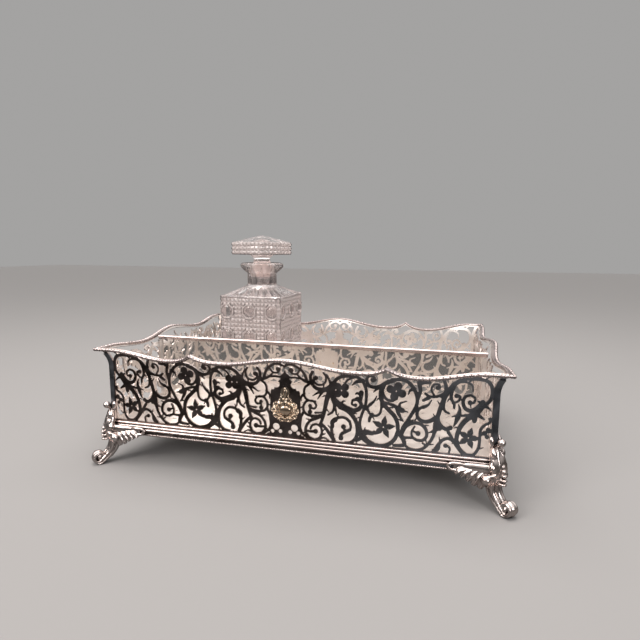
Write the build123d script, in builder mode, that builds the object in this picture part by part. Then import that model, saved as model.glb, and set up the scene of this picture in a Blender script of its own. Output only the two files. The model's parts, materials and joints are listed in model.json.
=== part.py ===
"""Silver inkstand: a pierced rectangular gallery on four scroll feet, with a lift-out divider and a cut-glass bottle.

Millimetres. +X runs along the length, -Y is the front, +Z is up. The origin is on the table, under the middle.
"""

import os
from math import cos, radians, sin, sqrt

from build123d import *

# ---- Gallery walls -----------------------------------------------------------------------------------------
body_length = 300.0  # over the outer faces of the end walls
body_depth = 205.0  # over the outer faces of the long walls
sheet = 1.2
floor_top = 35.0
floor_thickness = 1.4
flare_start = 81.0  # the walls are plumb below this height and roll outwards above it
flare_radius = 24.0
wall_limit = 100.0  # nothing of the gallery stands higher than this

# ---- Rim line: heights of the top edge, each with its distance from the middle of the side -----------------
long_hump = 97.5
long_inner_dip = (50.0, 90.8)
long_cusp = (75.5, 96.0)
long_outer_dip = (99.0, 90.0)
end_hump = 98.5
end_dip = (52.0, 93.4)
corner_height = 97.0
corner_run = 6.0  # the edge runs level from here to the corner
cusp_slope = 0.7
rim_thickness = 1.8
rim_half_width = 2.1
rim_section_low = 75.0  # the rims' raw section starts well under the lowest dip

# ---- Piercing: C-shaped slots, each as (distance from the middle, height, radius, opening angle) -----------
slot_width = 2.2
long_scrolls = [
    (22.0, 7.0, 4.6, 60),
    (24.0, 36.0, 4.6, 200),
    (43.0, 10.5, 6.0, 120),
    (43.0, 39.5, 6.0, 240),
    (60.0, 26.0, 4.2, 30),
    (73.3, 12.0, 6.4, 300),
    (82.0, 39.0, 6.4, 150),
    (96.5, 13.5, 5.6, 60),
    (104.0, 30.5, 5.2, 210),
    (117.5, 8.5, 4.6, 20),
    (131.5, 14.0, 5.6, 250),
    (130.0, 37.0, 5.2, 100),
]
end_scrolls = [
    (15.0, 11.0, 6.0, 120),
    (16.5, 38.0, 5.6, 240),
    (43.0, 10.5, 5.4, 60),
    (47.0, 36.0, 6.4, 150),
    (64.0, 21.0, 4.6, 30),
    (82.0, 11.0, 6.0, 300),
    (83.0, 38.0, 5.6, 210),
]
scroll_base = 35.0  # the scrolls' heights are measured from here

# ---- Base moulding and corner strips -----------------------------------------------------------------------
moulding_height = 10.5
moulding_reach = 3.6  # how far it stands out from the wall at its foot
moulding_shoulder = 1.6  # and at its top
ledge_depth = 4.0  # the inner ledge that carries the walls and the floor
ledge_thickness = 2.0
cove_radius = 5.0
strip_leg = 4.0
strip_thickness = 0.8

# ---- Divider -----------------------------------------------------------------------------------------------
divider_y = -31.8
divider_top = 94.5
rail_height = 3.4
rail_half_width = 1.8
channel_depth = 3.0
channel_width = 3.8
channel_top = 90.0
slide_gap = 0.15

# ---- Badges: plain gilt ovals under a small crest, each held by pins through the wall ---------------------
badge_height = 56.7  # middle of the oval
badge_radii = (11.0, 9.2)
crest_height = 68.9  # middle of the crest
crest_radii = (3.6, 5.6)
badge_thickness = 1.6
boss_radii = (6.6, 5.4)
boss_thickness = 0.8
pin_radius = 0.8
pin_spread = (7.0, 4.0)
pin_proud = 1.0  # the pins are headed over this far inside the wall

# ---- Feet: distances along the corner diagonal from the corner of the walls --------------------------------
toe_distance = 12.5
toe_radius = 6.5
toe_height = 6.1  # a little under the radius, so the toe has a flat to stand on
leg_half_width = 5.4
toe_half_width = 6.2
knee_distance = 9.4  # the front of the knee, which is also the foot's widest reach above the toe
knee_height = 24.0
shin = (4.8, 16.5)  # the leg's front where it is thinnest
instep = (8.8, 10.4)  # its front again, where it meets the toe
calf = (-3.2, 11.0)  # the leg's back
block_half_width = 5.8  # the block that climbs the corner from the knee
foot_top = 46.0
ball_radius = 3.6  # of the ball under the knee and of the one on top
wing_length = 32.0
wing_thickness = 2.6
wing_rise = 4.0  # the wing's tip starts this far above the moulding's foot
wing_tip = 2.0

# ---- Bottle and stopper ------------------------------------------------------------------------------------
bottle_centre = (-63.0, 18.0)
bottle_turn = -3.5
bottle_width = 64.0
bottle_wall = 5.0
bottle_base = 7.0
cavity_corner = 4.0  # radius of the upright corners inside
edge_chamfer = 3.0
shoulder_height = 131.6
shoulder_bevel = 2.0  # the shoulder starts this far inside the faces
neck_start = 142.0
neck_radius = 14.5
neck_end = 153.0
lip_start = 155.0
lip_top = 163.5
lip_radius = 21.5
lip_bevel = 3.0
mouth_radius = 9.2
throat_radius = 8.0
throat_height = 146.0
cavity_top = 127.0
throat_bottom = 139.0
ground_gap = 0.06  # all round the ground joint of the stopper

slab_width = 43.0
slab_bottom = 171.5
slab_top = 183.3
apex_height = 190.2
slab_turn = -24.0
apex_width = 0.6  # the pyramid ends in a tiny flat
stopper_neck_radius = 8.2
stopper_neck_height = 165.0
stopper_flare_radius = 13.0

# ---- Derived -----------------------------------------------------------------------------------------------
half_length = body_length / 2
half_depth = body_depth / 2
wall_bottom = floor_top - floor_thickness
moulding_bottom = floor_top - moulding_height
overrun = 12.0  # raw lengths run this far past the corners before they are mitred
section_plane = Plane(origin=(0, 0, 0), x_dir=(0, -1, 0), z_dir=(-1, 0, 0))  # x outwards to the front, y up


def flare_at(height):
    """How far the wall has rolled outwards at this height."""
    rise = max(height - flare_start, 0.0)
    return flare_radius - sqrt(flare_radius**2 - rise**2)


# ---- Outlines shared by the sides. A side is drawn as the front one: x along it, y outwards from it --------
def wall_outline(face, outer, inner, low):
    """Section of a rolled band between two offsets from the wall's outer face, as x outwards and y up."""
    top_reach = flare_at(wall_limit)
    middle_height = (flare_start + wall_limit) / 2
    middle_reach = flare_at(middle_height)
    with BuildSketch() as outline:
        with BuildLine():
            Line((face + outer, low), (face + outer, flare_start))
            ThreePointArc(
                (face + outer, flare_start),
                (face + outer + middle_reach, middle_height),
                (face + outer + top_reach, wall_limit),
            )
            Line((face + outer + top_reach, wall_limit), (face + inner + top_reach, wall_limit))
            ThreePointArc(
                (face + inner + top_reach, wall_limit),
                (face + inner + middle_reach, middle_height),
                (face + inner, flare_start),
            )
            Line((face + inner, flare_start), (face + inner, low))
            Line((face + inner, low), (face + outer, low))
        make_face()
    return outline.sketch


def long_edge(drop):
    """Half of a long side's rim line, from the hump in the middle to the level run at the corner."""
    hump = (0, long_hump - drop)
    inner_dip = (long_inner_dip[0], long_inner_dip[1] - drop)
    cusp = (long_cusp[0], long_cusp[1] - drop)
    outer_dip = (long_outer_dip[0], long_outer_dip[1] - drop)
    corner = (half_length - corner_run, corner_height - drop)
    Spline(hump, inner_dip, tangents=[(1, 0), (1, 0)])
    Spline(inner_dip, cusp, tangents=[(1, 0), (1, cusp_slope)])
    Spline(cusp, outer_dip, tangents=[(1, -cusp_slope), (1, 0)])
    Spline(outer_dip, corner, tangents=[(1, 0), (1, 0)])


def end_edge(drop):
    """Half of an end's rim line, from the hump in the middle to the level run at the corner."""
    dip = (end_dip[0], end_dip[1] - drop)
    corner = (half_depth - corner_run, corner_height - drop)
    Spline((0, end_hump - drop), dip, tangents=[(1, 0), (1, 0)])
    Spline(dip, corner, tangents=[(1, 0), (1, 0)])


def edge_region(edge, half_span, drop, floor=None):
    """Region under a rim line down to a floor height, or without a floor the rim's own band."""
    level_start = half_span - corner_run
    far = half_span + overrun
    level = corner_height - drop
    with BuildSketch() as region:
        with BuildLine():
            edge(drop)
            if floor is None:
                lower = level - rim_thickness
                Polyline((level_start, level), (far, level), (far, lower), (level_start, lower))
                edge(drop + rim_thickness)
            else:
                Polyline((level_start, level), (far, level), (far, floor), (0, floor))
            mirror(about=Plane.YZ)
        make_face()
    return region.sketch


def mitre_region(half_span, face):
    """Plan of one side between its two mitres, with the side's outer face at y = -face."""
    inwards = 20.0
    with BuildSketch() as region:
        Polygon(
            (-half_span - overrun, -face - overrun),
            (half_span + overrun, -face - overrun),
            (half_span - inwards, -face + inwards),
            (-half_span + inwards, -face + inwards),
            align=None,
        )
    return region.sketch


def scroll_slots(scrolls, height):
    """C-shaped piercings, each one leaving a curled tongue of sheet: (distance, height, radius, opening angle)."""
    with BuildSketch() as slots:
        for distance, rise, radius, opening in scrolls:
            for side in (1, -1):
                start = opening if side == 1 else 180 - opening - 270
                path = CenterArc((side * distance, height + rise), radius, start, 270, mode=Mode.PRIVATE)
                SlotArc(path, slot_width)
    return slots.sketch


# ---- Floor -------------------------------------------------------------------------------------------------
with BuildPart() as floor_plate:
    with BuildSketch(Plane.XY.offset(wall_bottom)):
        Rectangle(body_length - 2 * sheet, body_depth - 2 * sheet)
    extrude(amount=floor_thickness)
floor_plate.part.label = "floor_plate"

# ---- Pierced walls -----------------------------------------------------------------------------------------
with BuildPart() as front_panel:
    with BuildSketch(section_plane):
        add(wall_outline(half_depth, 0, -sheet, wall_bottom))
    extrude(amount=half_length + overrun, both=True)
    with BuildSketch(Plane.XZ):
        add(edge_region(long_edge, half_length, rim_thickness, floor=0))
    extrude(amount=half_depth + overrun, both=True, mode=Mode.INTERSECT)
    with BuildSketch(Plane.XY):
        add(mitre_region(half_length, half_depth))
    extrude(amount=wall_limit, mode=Mode.INTERSECT)
    with BuildSketch(Plane.XZ):
        add(scroll_slots(long_scrolls, scroll_base))
        with Locations((0, badge_height)):
            with GridLocations(2 * pin_spread[0], 2 * pin_spread[1], 2, 2):
                Circle(pin_radius)
    extrude(amount=half_depth + overrun, mode=Mode.SUBTRACT)
front_panel.part.label = "front_panel"

with BuildPart() as back_panel:
    add(front_panel.part.rotate(Axis.Z, 180))
back_panel.part.label = "back_panel"

with BuildPart() as end_panel:
    with BuildSketch(section_plane):
        add(wall_outline(half_length, 0, -sheet, wall_bottom))
    extrude(amount=half_depth + overrun, both=True)
    with BuildSketch(Plane.XZ):
        add(edge_region(end_edge, half_depth, rim_thickness, floor=0))
    extrude(amount=half_length + overrun, both=True, mode=Mode.INTERSECT)
    with BuildSketch(Plane.XY):
        add(mitre_region(half_depth, half_length))
    extrude(amount=wall_limit, mode=Mode.INTERSECT)
    with BuildSketch(Plane.XZ):
        add(scroll_slots(end_scrolls, scroll_base))
    extrude(amount=half_length + overrun, mode=Mode.SUBTRACT)

with BuildPart() as right_panel:
    add(end_panel.part.rotate(Axis.Z, 90))
right_panel.part.label = "right_panel"

with BuildPart() as left_panel:
    add(end_panel.part.rotate(Axis.Z, -90))
left_panel.part.label = "left_panel"

# ---- Rims: a flat strip along the top edge of each wall ----------------------------------------------------
with BuildPart() as front_rim:
    with BuildSketch(section_plane):
        add(wall_outline(half_depth - sheet / 2, rim_half_width, -rim_half_width, rim_section_low))
    extrude(amount=half_length + overrun, both=True)
    with BuildSketch(Plane.XZ):
        add(edge_region(long_edge, half_length, 0))
    extrude(amount=half_depth + overrun, both=True, mode=Mode.INTERSECT)
    with BuildSketch(Plane.XY):
        add(mitre_region(half_length, half_depth))
    extrude(amount=wall_limit, mode=Mode.INTERSECT)
front_rim.part.label = "front_rim"

with BuildPart() as back_rim:
    add(front_rim.part.rotate(Axis.Z, 180))
back_rim.part.label = "back_rim"

with BuildPart() as end_rim:
    with BuildSketch(section_plane):
        add(wall_outline(half_length - sheet / 2, rim_half_width, -rim_half_width, rim_section_low))
    extrude(amount=half_depth + overrun, both=True)
    with BuildSketch(Plane.XZ):
        add(edge_region(end_edge, half_depth, 0))
    extrude(amount=half_length + overrun, both=True, mode=Mode.INTERSECT)
    with BuildSketch(Plane.XY):
        add(mitre_region(half_depth, half_length))
    extrude(amount=wall_limit, mode=Mode.INTERSECT)

with BuildPart() as right_rim:
    add(end_rim.part.rotate(Axis.Z, 90))
right_rim.part.label = "right_rim"

with BuildPart() as left_rim:
    add(end_rim.part.rotate(Axis.Z, -90))
left_rim.part.label = "left_rim"


# ---- Base moulding: reeds over a cove, with an inner ledge under the wall and the floor --------------------
def moulding_outline(face):
    shoulder = face + moulding_shoulder
    foot = face + moulding_reach
    reed = 0.9  # radius of the two reeds
    cove_top = floor_top - 4.4
    cove_foot = moulding_bottom + 1.6
    with BuildSketch() as outline:
        with BuildLine():
            Polyline(
                (shoulder, floor_top),
                (face, floor_top),
                (face, wall_bottom),
                (face - ledge_depth, wall_bottom),
                (face - ledge_depth, wall_bottom - ledge_thickness),
                (face, wall_bottom - ledge_thickness),
                (face, moulding_bottom),
                (foot, moulding_bottom),
                (foot, cove_foot),
            )
            RadiusArc((foot, cove_foot), (shoulder, cove_top), cove_radius)
            ThreePointArc(
                (shoulder, cove_top), (shoulder + reed, cove_top + reed), (shoulder, cove_top + 2 * reed)
            )
            Line((shoulder, cove_top + 2 * reed), (shoulder, floor_top - 2 * reed))
            ThreePointArc(
                (shoulder, floor_top - 2 * reed), (shoulder + reed, floor_top - reed), (shoulder, floor_top)
            )
        make_face()
    return outline.sketch


with BuildPart() as front_base_moulding:
    with BuildSketch(section_plane):
        add(moulding_outline(half_depth))
    extrude(amount=half_length + overrun, both=True)
    with BuildSketch(Plane.XY):
        add(mitre_region(half_length, half_depth))
    extrude(amount=wall_limit, mode=Mode.INTERSECT)
front_base_moulding.part.label = "front_base_moulding"

with BuildPart() as back_base_moulding:
    add(front_base_moulding.part.rotate(Axis.Z, 180))
back_base_moulding.part.label = "back_base_moulding"

with BuildPart() as end_base_moulding:
    with BuildSketch(section_plane):
        add(moulding_outline(half_length))
    extrude(amount=half_depth + overrun, both=True)
    with BuildSketch(Plane.XY):
        add(mitre_region(half_depth, half_length))
    extrude(amount=wall_limit, mode=Mode.INTERSECT)

with BuildPart() as right_base_moulding:
    add(end_base_moulding.part.rotate(Axis.Z, 90))
right_base_moulding.part.label = "right_base_moulding"

with BuildPart() as left_base_moulding:
    add(end_base_moulding.part.rotate(Axis.Z, -90))
left_base_moulding.part.label = "left_base_moulding"

# ---- Corner strips: an angle over each vertical seam -------------------------------------------------------
with BuildPart() as front_right_corner_strip:
    with BuildSketch(Plane.XY.offset(floor_top)):
        with Locations((half_length + strip_thickness, -half_depth - strip_thickness)):
            Rectangle(strip_leg, strip_leg, align=(Align.MAX, Align.MIN))
        with Locations((half_length, -half_depth)):
            Rectangle(strip_leg, strip_leg, align=(Align.MAX, Align.MIN), mode=Mode.SUBTRACT)
    extrude(amount=flare_start - floor_top)
front_right_corner_strip.part.label = "front_right_corner_strip"

with BuildPart() as front_left_corner_strip:
    mirror(front_right_corner_strip.part, about=Plane.YZ)
front_left_corner_strip.part.label = "front_left_corner_strip"

with BuildPart() as back_right_corner_strip:
    mirror(front_right_corner_strip.part, about=Plane.XZ)
back_right_corner_strip.part.label = "back_right_corner_strip"

with BuildPart() as back_left_corner_strip:
    mirror(front_left_corner_strip.part, about=Plane.XZ)
back_left_corner_strip.part.label = "back_left_corner_strip"

# ---- Divider channels on the end walls ---------------------------------------------------------------------
channel_web = channel_depth / 3
with BuildPart() as right_divider_channel:
    with BuildSketch(Plane.XY.offset(floor_top)):
        with Locations((half_length - sheet, divider_y)):
            Rectangle(channel_depth, channel_width, align=(Align.MAX, Align.CENTER))
        with Locations((half_length - sheet - channel_web, divider_y)):
            Rectangle(channel_depth, sheet + 2 * slide_gap, align=(Align.MAX, Align.CENTER), mode=Mode.SUBTRACT)
    extrude(amount=channel_top - floor_top)
right_divider_channel.part.label = "right_divider_channel"

with BuildPart() as left_divider_channel:
    mirror(right_divider_channel.part, about=Plane.YZ)
left_divider_channel.part.label = "left_divider_channel"

# ---- Divider and its reeded rail ---------------------------------------------------------------------------
rail_bottom = divider_top - rail_height
divider_half_length = half_length - sheet - channel_web - slide_gap
rail_half_length = half_length - sheet / 2 - rim_half_width + flare_at(rail_bottom) - slide_gap

with BuildPart() as divider_panel:
    with BuildSketch(Plane.XY.offset(floor_top)):
        with Locations((0, divider_y)):
            Rectangle(2 * divider_half_length, sheet)
    extrude(amount=rail_bottom - floor_top)
divider_panel.part.label = "divider_panel"

with BuildPart() as divider_rail:
    reed_radius = rail_half_width / 2
    reed_base = divider_top - reed_radius
    with BuildSketch(section_plane):
        with BuildLine():
            Polyline(
                (-divider_y - rail_half_width, reed_base),
                (-divider_y - rail_half_width, rail_bottom),
                (-divider_y + rail_half_width, rail_bottom),
                (-divider_y + rail_half_width, reed_base),
            )
            ThreePointArc(
                (-divider_y + rail_half_width, reed_base),
                (-divider_y + reed_radius, divider_top),
                (-divider_y, reed_base),
            )
            ThreePointArc(
                (-divider_y, reed_base),
                (-divider_y - reed_radius, divider_top),
                (-divider_y - rail_half_width, reed_base),
            )
        make_face()
    extrude(amount=rail_half_length, both=True)
divider_rail.part.label = "divider_rail"

# ---- Badges and their pins ---------------------------------------------------------------------------------
badge_plane = Plane(origin=(0, -half_depth, badge_height), x_dir=(1, 0, 0), z_dir=(0, -1, 0))

with BuildPart() as front_badge:
    with BuildSketch(badge_plane):
        Ellipse(*badge_radii)
        with Locations((0, crest_height - badge_height)):
            Ellipse(*crest_radii)
    extrude(amount=badge_thickness)
    with BuildSketch(badge_plane.offset(badge_thickness)):
        Ellipse(*boss_radii)
    extrude(amount=boss_thickness)
front_badge.part.label = "front_badge"

with BuildPart() as back_badge:
    add(front_badge.part.rotate(Axis.Z, 180))
back_badge.part.label = "back_badge"

with BuildPart() as front_badge_pins:
    with BuildSketch(badge_plane):
        with GridLocations(2 * pin_spread[0], 2 * pin_spread[1], 2, 2):
            Circle(pin_radius)
    extrude(amount=-sheet - pin_proud)
front_badge_pins.part.label = "front_badge_pins"

with BuildPart() as back_badge_pins:
    add(front_badge_pins.part.rotate(Axis.Z, 180))
back_badge_pins.part.label = "back_badge_pins"

# ---- Feet --------------------------------------------------------------------------------------------------
# The foot is drawn in the upright plane through the front right corner's diagonal: x outwards, y up.
diagonal = sqrt(0.5)
foot_plane = Plane(
    origin=(half_length, -half_depth, 0), x_dir=(diagonal, -diagonal, 0), z_dir=(-diagonal, -diagonal, 0)
)
moulding_corner = moulding_reach * sqrt(2)


def wing_outline():
    """Leaf that lies along the moulding: x runs from the corner of the walls back along the side."""
    root = moulding_reach + wing_thickness / 2
    root_low = moulding_bottom - 2.5 * ball_radius
    root_high = floor_top + ball_radius
    tip_low = moulding_bottom + wing_rise
    with BuildSketch() as outline:
        with BuildLine():
            Spline((root, root_low), (-wing_length, tip_low), tangents=[(-1, 0.1), (-1, 0.5)])
            Line((-wing_length, tip_low), (-wing_length, tip_low + wing_tip))
            Spline((-wing_length, tip_low + wing_tip), (root, root_high), tangents=[(1, -0.3), (0.2, 1)])
            Line((root, root_high), (root, root_low))
        make_face()
    return outline.sketch


with BuildPart() as front_right_foot:
    # Leg: from the knee down and outwards into the scroll toe
    toe_top = (toe_distance + toe_radius / 4, toe_height + toe_radius * 0.95)
    toe_back = (toe_distance - toe_radius * diagonal, toe_height - toe_radius * diagonal)
    block_back = -block_half_width
    with BuildSketch(foot_plane):
        with BuildLine():
            Spline((knee_distance, knee_height), shin, instep, toe_top, tangents=[(-0.3, -1), (1, 0.2)])
            Line(toe_top, toe_back)
            Spline(toe_back, calf, (block_back, moulding_bottom), tangents=[(-1, 0.6), (-0.5, 1)])
            Line((block_back, moulding_bottom), (knee_distance, moulding_bottom))
            Line((knee_distance, moulding_bottom), (knee_distance, knee_height))
        make_face()
    extrude(amount=leg_half_width, both=True)
    with BuildSketch(foot_plane):
        with Locations((toe_distance, toe_height)):
            Circle(toe_radius)
    extrude(amount=toe_half_width, both=True)
    # Corner block: from the knee up over the moulding to the ball on top
    with BuildSketch(foot_plane):
        with BuildLine():
            Spline(
                (knee_distance, knee_height),
                (ball_radius, foot_top),
                tangents=[(0.1, 1), (-0.7, 1)],
            )
            Line((ball_radius, foot_top), (block_back, foot_top))
            Line((block_back, foot_top), (block_back, knee_height))
            Line((block_back, knee_height), (knee_distance, knee_height))
        make_face()
    extrude(amount=block_half_width, both=True)
    with Locations(
        foot_plane.from_local_coords((ball_radius, foot_top, 0)),
        foot_plane.from_local_coords((moulding_corner, moulding_bottom - ball_radius, 0)),
    ):
        Sphere(ball_radius)
    # Wings along both mouldings
    with BuildSketch(Plane.XZ.offset(half_depth)):
        with Locations((half_length, 0)):
            add(wing_outline())
    extrude(amount=moulding_reach + wing_thickness)
    with BuildSketch(Plane(origin=(half_length, -half_depth, 0), x_dir=(0, -1, 0), z_dir=(-1, 0, 0))):
        add(wing_outline())
    extrude(amount=-moulding_reach - wing_thickness)
    # Room for the walls, the corner strip and the moulding, and a flat to stand on
    with BuildSketch(Plane.XY.offset(moulding_bottom)):
        Rectangle(body_length + 2 * moulding_reach, body_depth + 2 * moulding_reach)
    extrude(amount=moulding_height, mode=Mode.SUBTRACT)
    with BuildSketch(Plane.XY.offset(floor_top)):
        Rectangle(body_length + 2 * strip_thickness, body_depth + 2 * strip_thickness)
    extrude(amount=foot_top, mode=Mode.SUBTRACT)
    with BuildSketch(Plane.XY):
        with Locations((half_length, -half_depth)):
            Rectangle(4 * wing_length, 4 * wing_length)
    extrude(amount=-foot_top, mode=Mode.SUBTRACT)
front_right_foot.part.label = "front_right_foot"

with BuildPart() as front_left_foot:
    mirror(front_right_foot.part, about=Plane.YZ)
front_left_foot.part.label = "front_left_foot"

with BuildPart() as back_right_foot:
    mirror(front_right_foot.part, about=Plane.XZ)
back_right_foot.part.label = "back_right_foot"

with BuildPart() as back_left_foot:
    mirror(front_left_foot.part, about=Plane.XZ)
back_left_foot.part.label = "back_left_foot"


# ---- Bottle ------------------------------------------------------------------------------------------------
def turned_level(height, turn):
    """Level plane over the bottle's centre, turned about the vertical."""
    return Plane(
        origin=(*bottle_centre, height), x_dir=(cos(radians(turn)), sin(radians(turn)), 0), z_dir=(0, 0, 1)
    )


bottle_section = Plane(origin=(*bottle_centre, 0), x_dir=(1, 0, 0), z_dir=(0, -1, 0))  # x outwards, y up
bottle_axis = Axis((*bottle_centre, 0), (0, 0, 1))

with BuildPart() as bottle:
    with BuildSketch(turned_level(floor_top, bottle_turn)) as body_sketch:
        Rectangle(bottle_width, bottle_width)
        chamfer(body_sketch.vertices(), edge_chamfer)
    extrude(amount=shoulder_height - floor_top)
    with BuildSketch(turned_level(shoulder_height, bottle_turn)) as shoulder_sketch:
        Rectangle(bottle_width - 2 * shoulder_bevel, bottle_width - 2 * shoulder_bevel)
        chamfer(shoulder_sketch.vertices(), edge_chamfer)
    with BuildSketch(turned_level(neck_start, bottle_turn)):
        Circle(neck_radius)
    loft()
    with BuildSketch(bottle_section):
        with BuildLine():
            Polyline(
                (0, neck_start),
                (neck_radius, neck_start),
                (neck_radius, neck_end),
                (lip_radius - lip_bevel, lip_start),
                (lip_radius, lip_start + lip_bevel),
                (lip_radius, lip_top - lip_bevel / 2),
                (lip_radius - lip_bevel, lip_top),
                (0, lip_top),
                close=True,
            )
        make_face()
    revolve(axis=bottle_axis)
    # The ink's space, the throat and the tapered seat of the ground stopper
    cavity_width = bottle_width - 2 * bottle_wall
    with BuildSketch(turned_level(floor_top + bottle_base, bottle_turn)):
        RectangleRounded(cavity_width, cavity_width, cavity_corner)
    extrude(amount=cavity_top - floor_top - bottle_base, mode=Mode.SUBTRACT)
    with BuildSketch(turned_level(cavity_top, bottle_turn)):
        RectangleRounded(cavity_width, cavity_width, cavity_corner)
    with BuildSketch(turned_level(throat_bottom, bottle_turn)):
        Circle(throat_radius)
    loft(mode=Mode.SUBTRACT)
    with BuildSketch(bottle_section):
        Polygon(
            (0, throat_bottom),
            (throat_radius, throat_bottom),
            (throat_radius, throat_height),
            (mouth_radius, lip_top),
            (0, lip_top),
            align=None,
        )
    revolve(axis=bottle_axis, mode=Mode.SUBTRACT)
bottle.part.label = "bottle"

# ---- Stopper: ground plug, waisted neck, square slab with a low pyramid on top -----------------------------
plug_bottom = throat_height + 2
seat_slope = (mouth_radius - throat_radius) / (lip_top - throat_height)
plug_radius = throat_radius + seat_slope * (plug_bottom - throat_height) - ground_gap

with BuildPart() as stopper:
    with BuildSketch(bottle_section):
        with BuildLine():
            Polyline(
                (0, slab_bottom),
                (0, plug_bottom),
                (plug_radius, plug_bottom),
                (mouth_radius - ground_gap, lip_top),
                (stopper_neck_radius, stopper_neck_height),
            )
            Spline(
                (stopper_neck_radius, stopper_neck_height),
                (stopper_flare_radius, slab_bottom),
                tangents=[(0, 1), (1, 0.6)],
            )
            Line((stopper_flare_radius, slab_bottom), (0, slab_bottom))
        make_face()
    revolve(axis=bottle_axis)
    with BuildSketch(turned_level(slab_bottom, slab_turn)):
        Rectangle(slab_width, slab_width)
    extrude(amount=slab_top - slab_bottom)
    with BuildSketch(turned_level(slab_top, slab_turn)):
        Rectangle(slab_width, slab_width)
    with BuildSketch(turned_level(apex_height, slab_turn)):
        Rectangle(apex_width, apex_width)
    loft()
stopper.part.label = "stopper"

# ---- Export ------------------------------------------------------------------------------------------------
os.makedirs("parts", exist_ok=True)
pieces = [
    floor_plate,
    front_panel,
    back_panel,
    left_panel,
    right_panel,
    front_rim,
    back_rim,
    left_rim,
    right_rim,
    front_base_moulding,
    back_base_moulding,
    left_base_moulding,
    right_base_moulding,
    front_left_corner_strip,
    front_right_corner_strip,
    back_left_corner_strip,
    back_right_corner_strip,
    left_divider_channel,
    right_divider_channel,
    divider_panel,
    divider_rail,
    front_badge,
    back_badge,
    front_badge_pins,
    back_badge_pins,
    front_left_foot,
    front_right_foot,
    back_left_foot,
    back_right_foot,
    bottle,
    stopper,
]
for piece in pieces:
    export_step(piece.part, f"parts/{piece.part.label}.step")
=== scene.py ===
import json
from math import cos, hypot, pi, radians, sin, sqrt

import bpy
import numpy as np
from mathutils import Matrix, Vector
from mathutils.geometry import delaunay_2d_cdt

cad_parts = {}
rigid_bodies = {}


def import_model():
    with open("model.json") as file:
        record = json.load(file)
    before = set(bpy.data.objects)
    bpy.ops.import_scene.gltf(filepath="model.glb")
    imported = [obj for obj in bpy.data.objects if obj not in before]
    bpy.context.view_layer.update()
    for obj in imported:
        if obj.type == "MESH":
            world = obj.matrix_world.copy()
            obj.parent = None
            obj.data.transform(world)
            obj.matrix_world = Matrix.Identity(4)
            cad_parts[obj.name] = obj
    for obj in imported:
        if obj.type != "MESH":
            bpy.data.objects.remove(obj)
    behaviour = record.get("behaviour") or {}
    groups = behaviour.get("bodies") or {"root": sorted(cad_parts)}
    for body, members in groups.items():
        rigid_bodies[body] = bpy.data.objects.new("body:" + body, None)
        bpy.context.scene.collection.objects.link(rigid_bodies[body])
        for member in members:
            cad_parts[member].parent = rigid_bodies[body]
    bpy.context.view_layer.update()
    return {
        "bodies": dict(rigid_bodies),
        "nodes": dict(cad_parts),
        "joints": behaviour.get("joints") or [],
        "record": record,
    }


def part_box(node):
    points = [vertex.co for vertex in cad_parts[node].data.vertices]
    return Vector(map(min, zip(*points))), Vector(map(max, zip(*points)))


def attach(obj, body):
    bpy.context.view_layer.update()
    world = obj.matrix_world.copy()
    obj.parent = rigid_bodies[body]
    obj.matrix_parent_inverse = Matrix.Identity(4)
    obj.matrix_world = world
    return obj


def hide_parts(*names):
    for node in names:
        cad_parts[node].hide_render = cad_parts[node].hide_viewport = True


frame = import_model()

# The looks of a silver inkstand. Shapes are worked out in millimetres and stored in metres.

MM = 0.001


def span(node):
    """Lowest and highest corner of a CAD node, in millimetres."""
    low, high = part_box(node)
    return np.array(low) / MM, np.array(high) / MM


# ---- Sizes of the tray ----
SHEET = 1.2  # thickness of the walls
FLARE_START = 81.0  # the walls are plumb up to here
FLARE_RADIUS = 24.0
FLOOR_LOW, FLOOR_HIGH = span("floor_plate")
FLOOR_TOP = FLOOR_HIGH[2]
WALL_BOTTOM = FLOOR_LOW[2]
HALF_LENGTH = FLOOR_HIGH[0] + SHEET
HALF_DEPTH = FLOOR_HIGH[1] + SHEET
RIM_DROP = 0.9  # the wall ends, and the rim's strip is centred, this far under the rim line

# Rim lines as (distance from the middle, height, slope before, slope after)
LONG_RIM = [(0, 97.5, 0, 0), (50, 90.8, 0, 0), (75.5, 96.0, 0.7, -0.7), (99, 90.0, 0, 0), (144, 97.0, 0, 0)]
END_RIM = [(0, 98.5, 0, 0), (52, 93.4, 0, 0), (96.5, 97.0, 0, 0)]


def rim_height(keys, distance):
    """Height of the rim line at a distance from the middle: a cubic between each pair of keys."""
    d = np.abs(np.asarray(distance, float))
    height = np.full(d.shape, float(keys[-1][1]))
    for (d0, z0, _, slope0), (d1, z1, slope1, _) in zip(keys[:-1], keys[1:]):
        run = d1 - d0
        t = np.clip((d - d0) / run, 0, 1)
        cubic = (
            (2 * t**3 - 3 * t**2 + 1) * z0
            + (t**3 - 2 * t**2 + t) * run * slope0
            + (-2 * t**3 + 3 * t**2) * z1
            + (t**3 - t**2) * run * slope1
        )
        height = np.where((d >= d0) & (d < d1), cubic, height)
    return height


def flare(height):
    """How far the wall has rolled outwards at this height."""
    rise = np.maximum(np.asarray(height, float) - FLARE_START, 0.0)
    return FLARE_RADIUS - np.sqrt(FLARE_RADIUS**2 - rise**2)


# ---- Mesh helpers ----
def make_object(name, vertices, faces, materials, face_material=None, sharp=35):
    """Object from millimetre vertices: smooth, with edges sharper than the angle kept crisp."""
    mesh = bpy.data.meshes.new(name)
    mesh.from_pydata((np.asarray(vertices, float) * MM).tolist(), [], faces)
    for material in materials:
        mesh.materials.append(material)
    if face_material is not None:
        mesh.polygons.foreach_set("material_index", np.asarray(face_material, np.int32))
    mesh.polygons.foreach_set("use_smooth", np.ones(len(mesh.polygons), bool))
    mesh.set_sharp_from_angle(angle=radians(sharp))
    mesh.update()
    obj = bpy.data.objects.new(name, mesh)
    bpy.context.scene.collection.objects.link(obj)
    return obj


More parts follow.
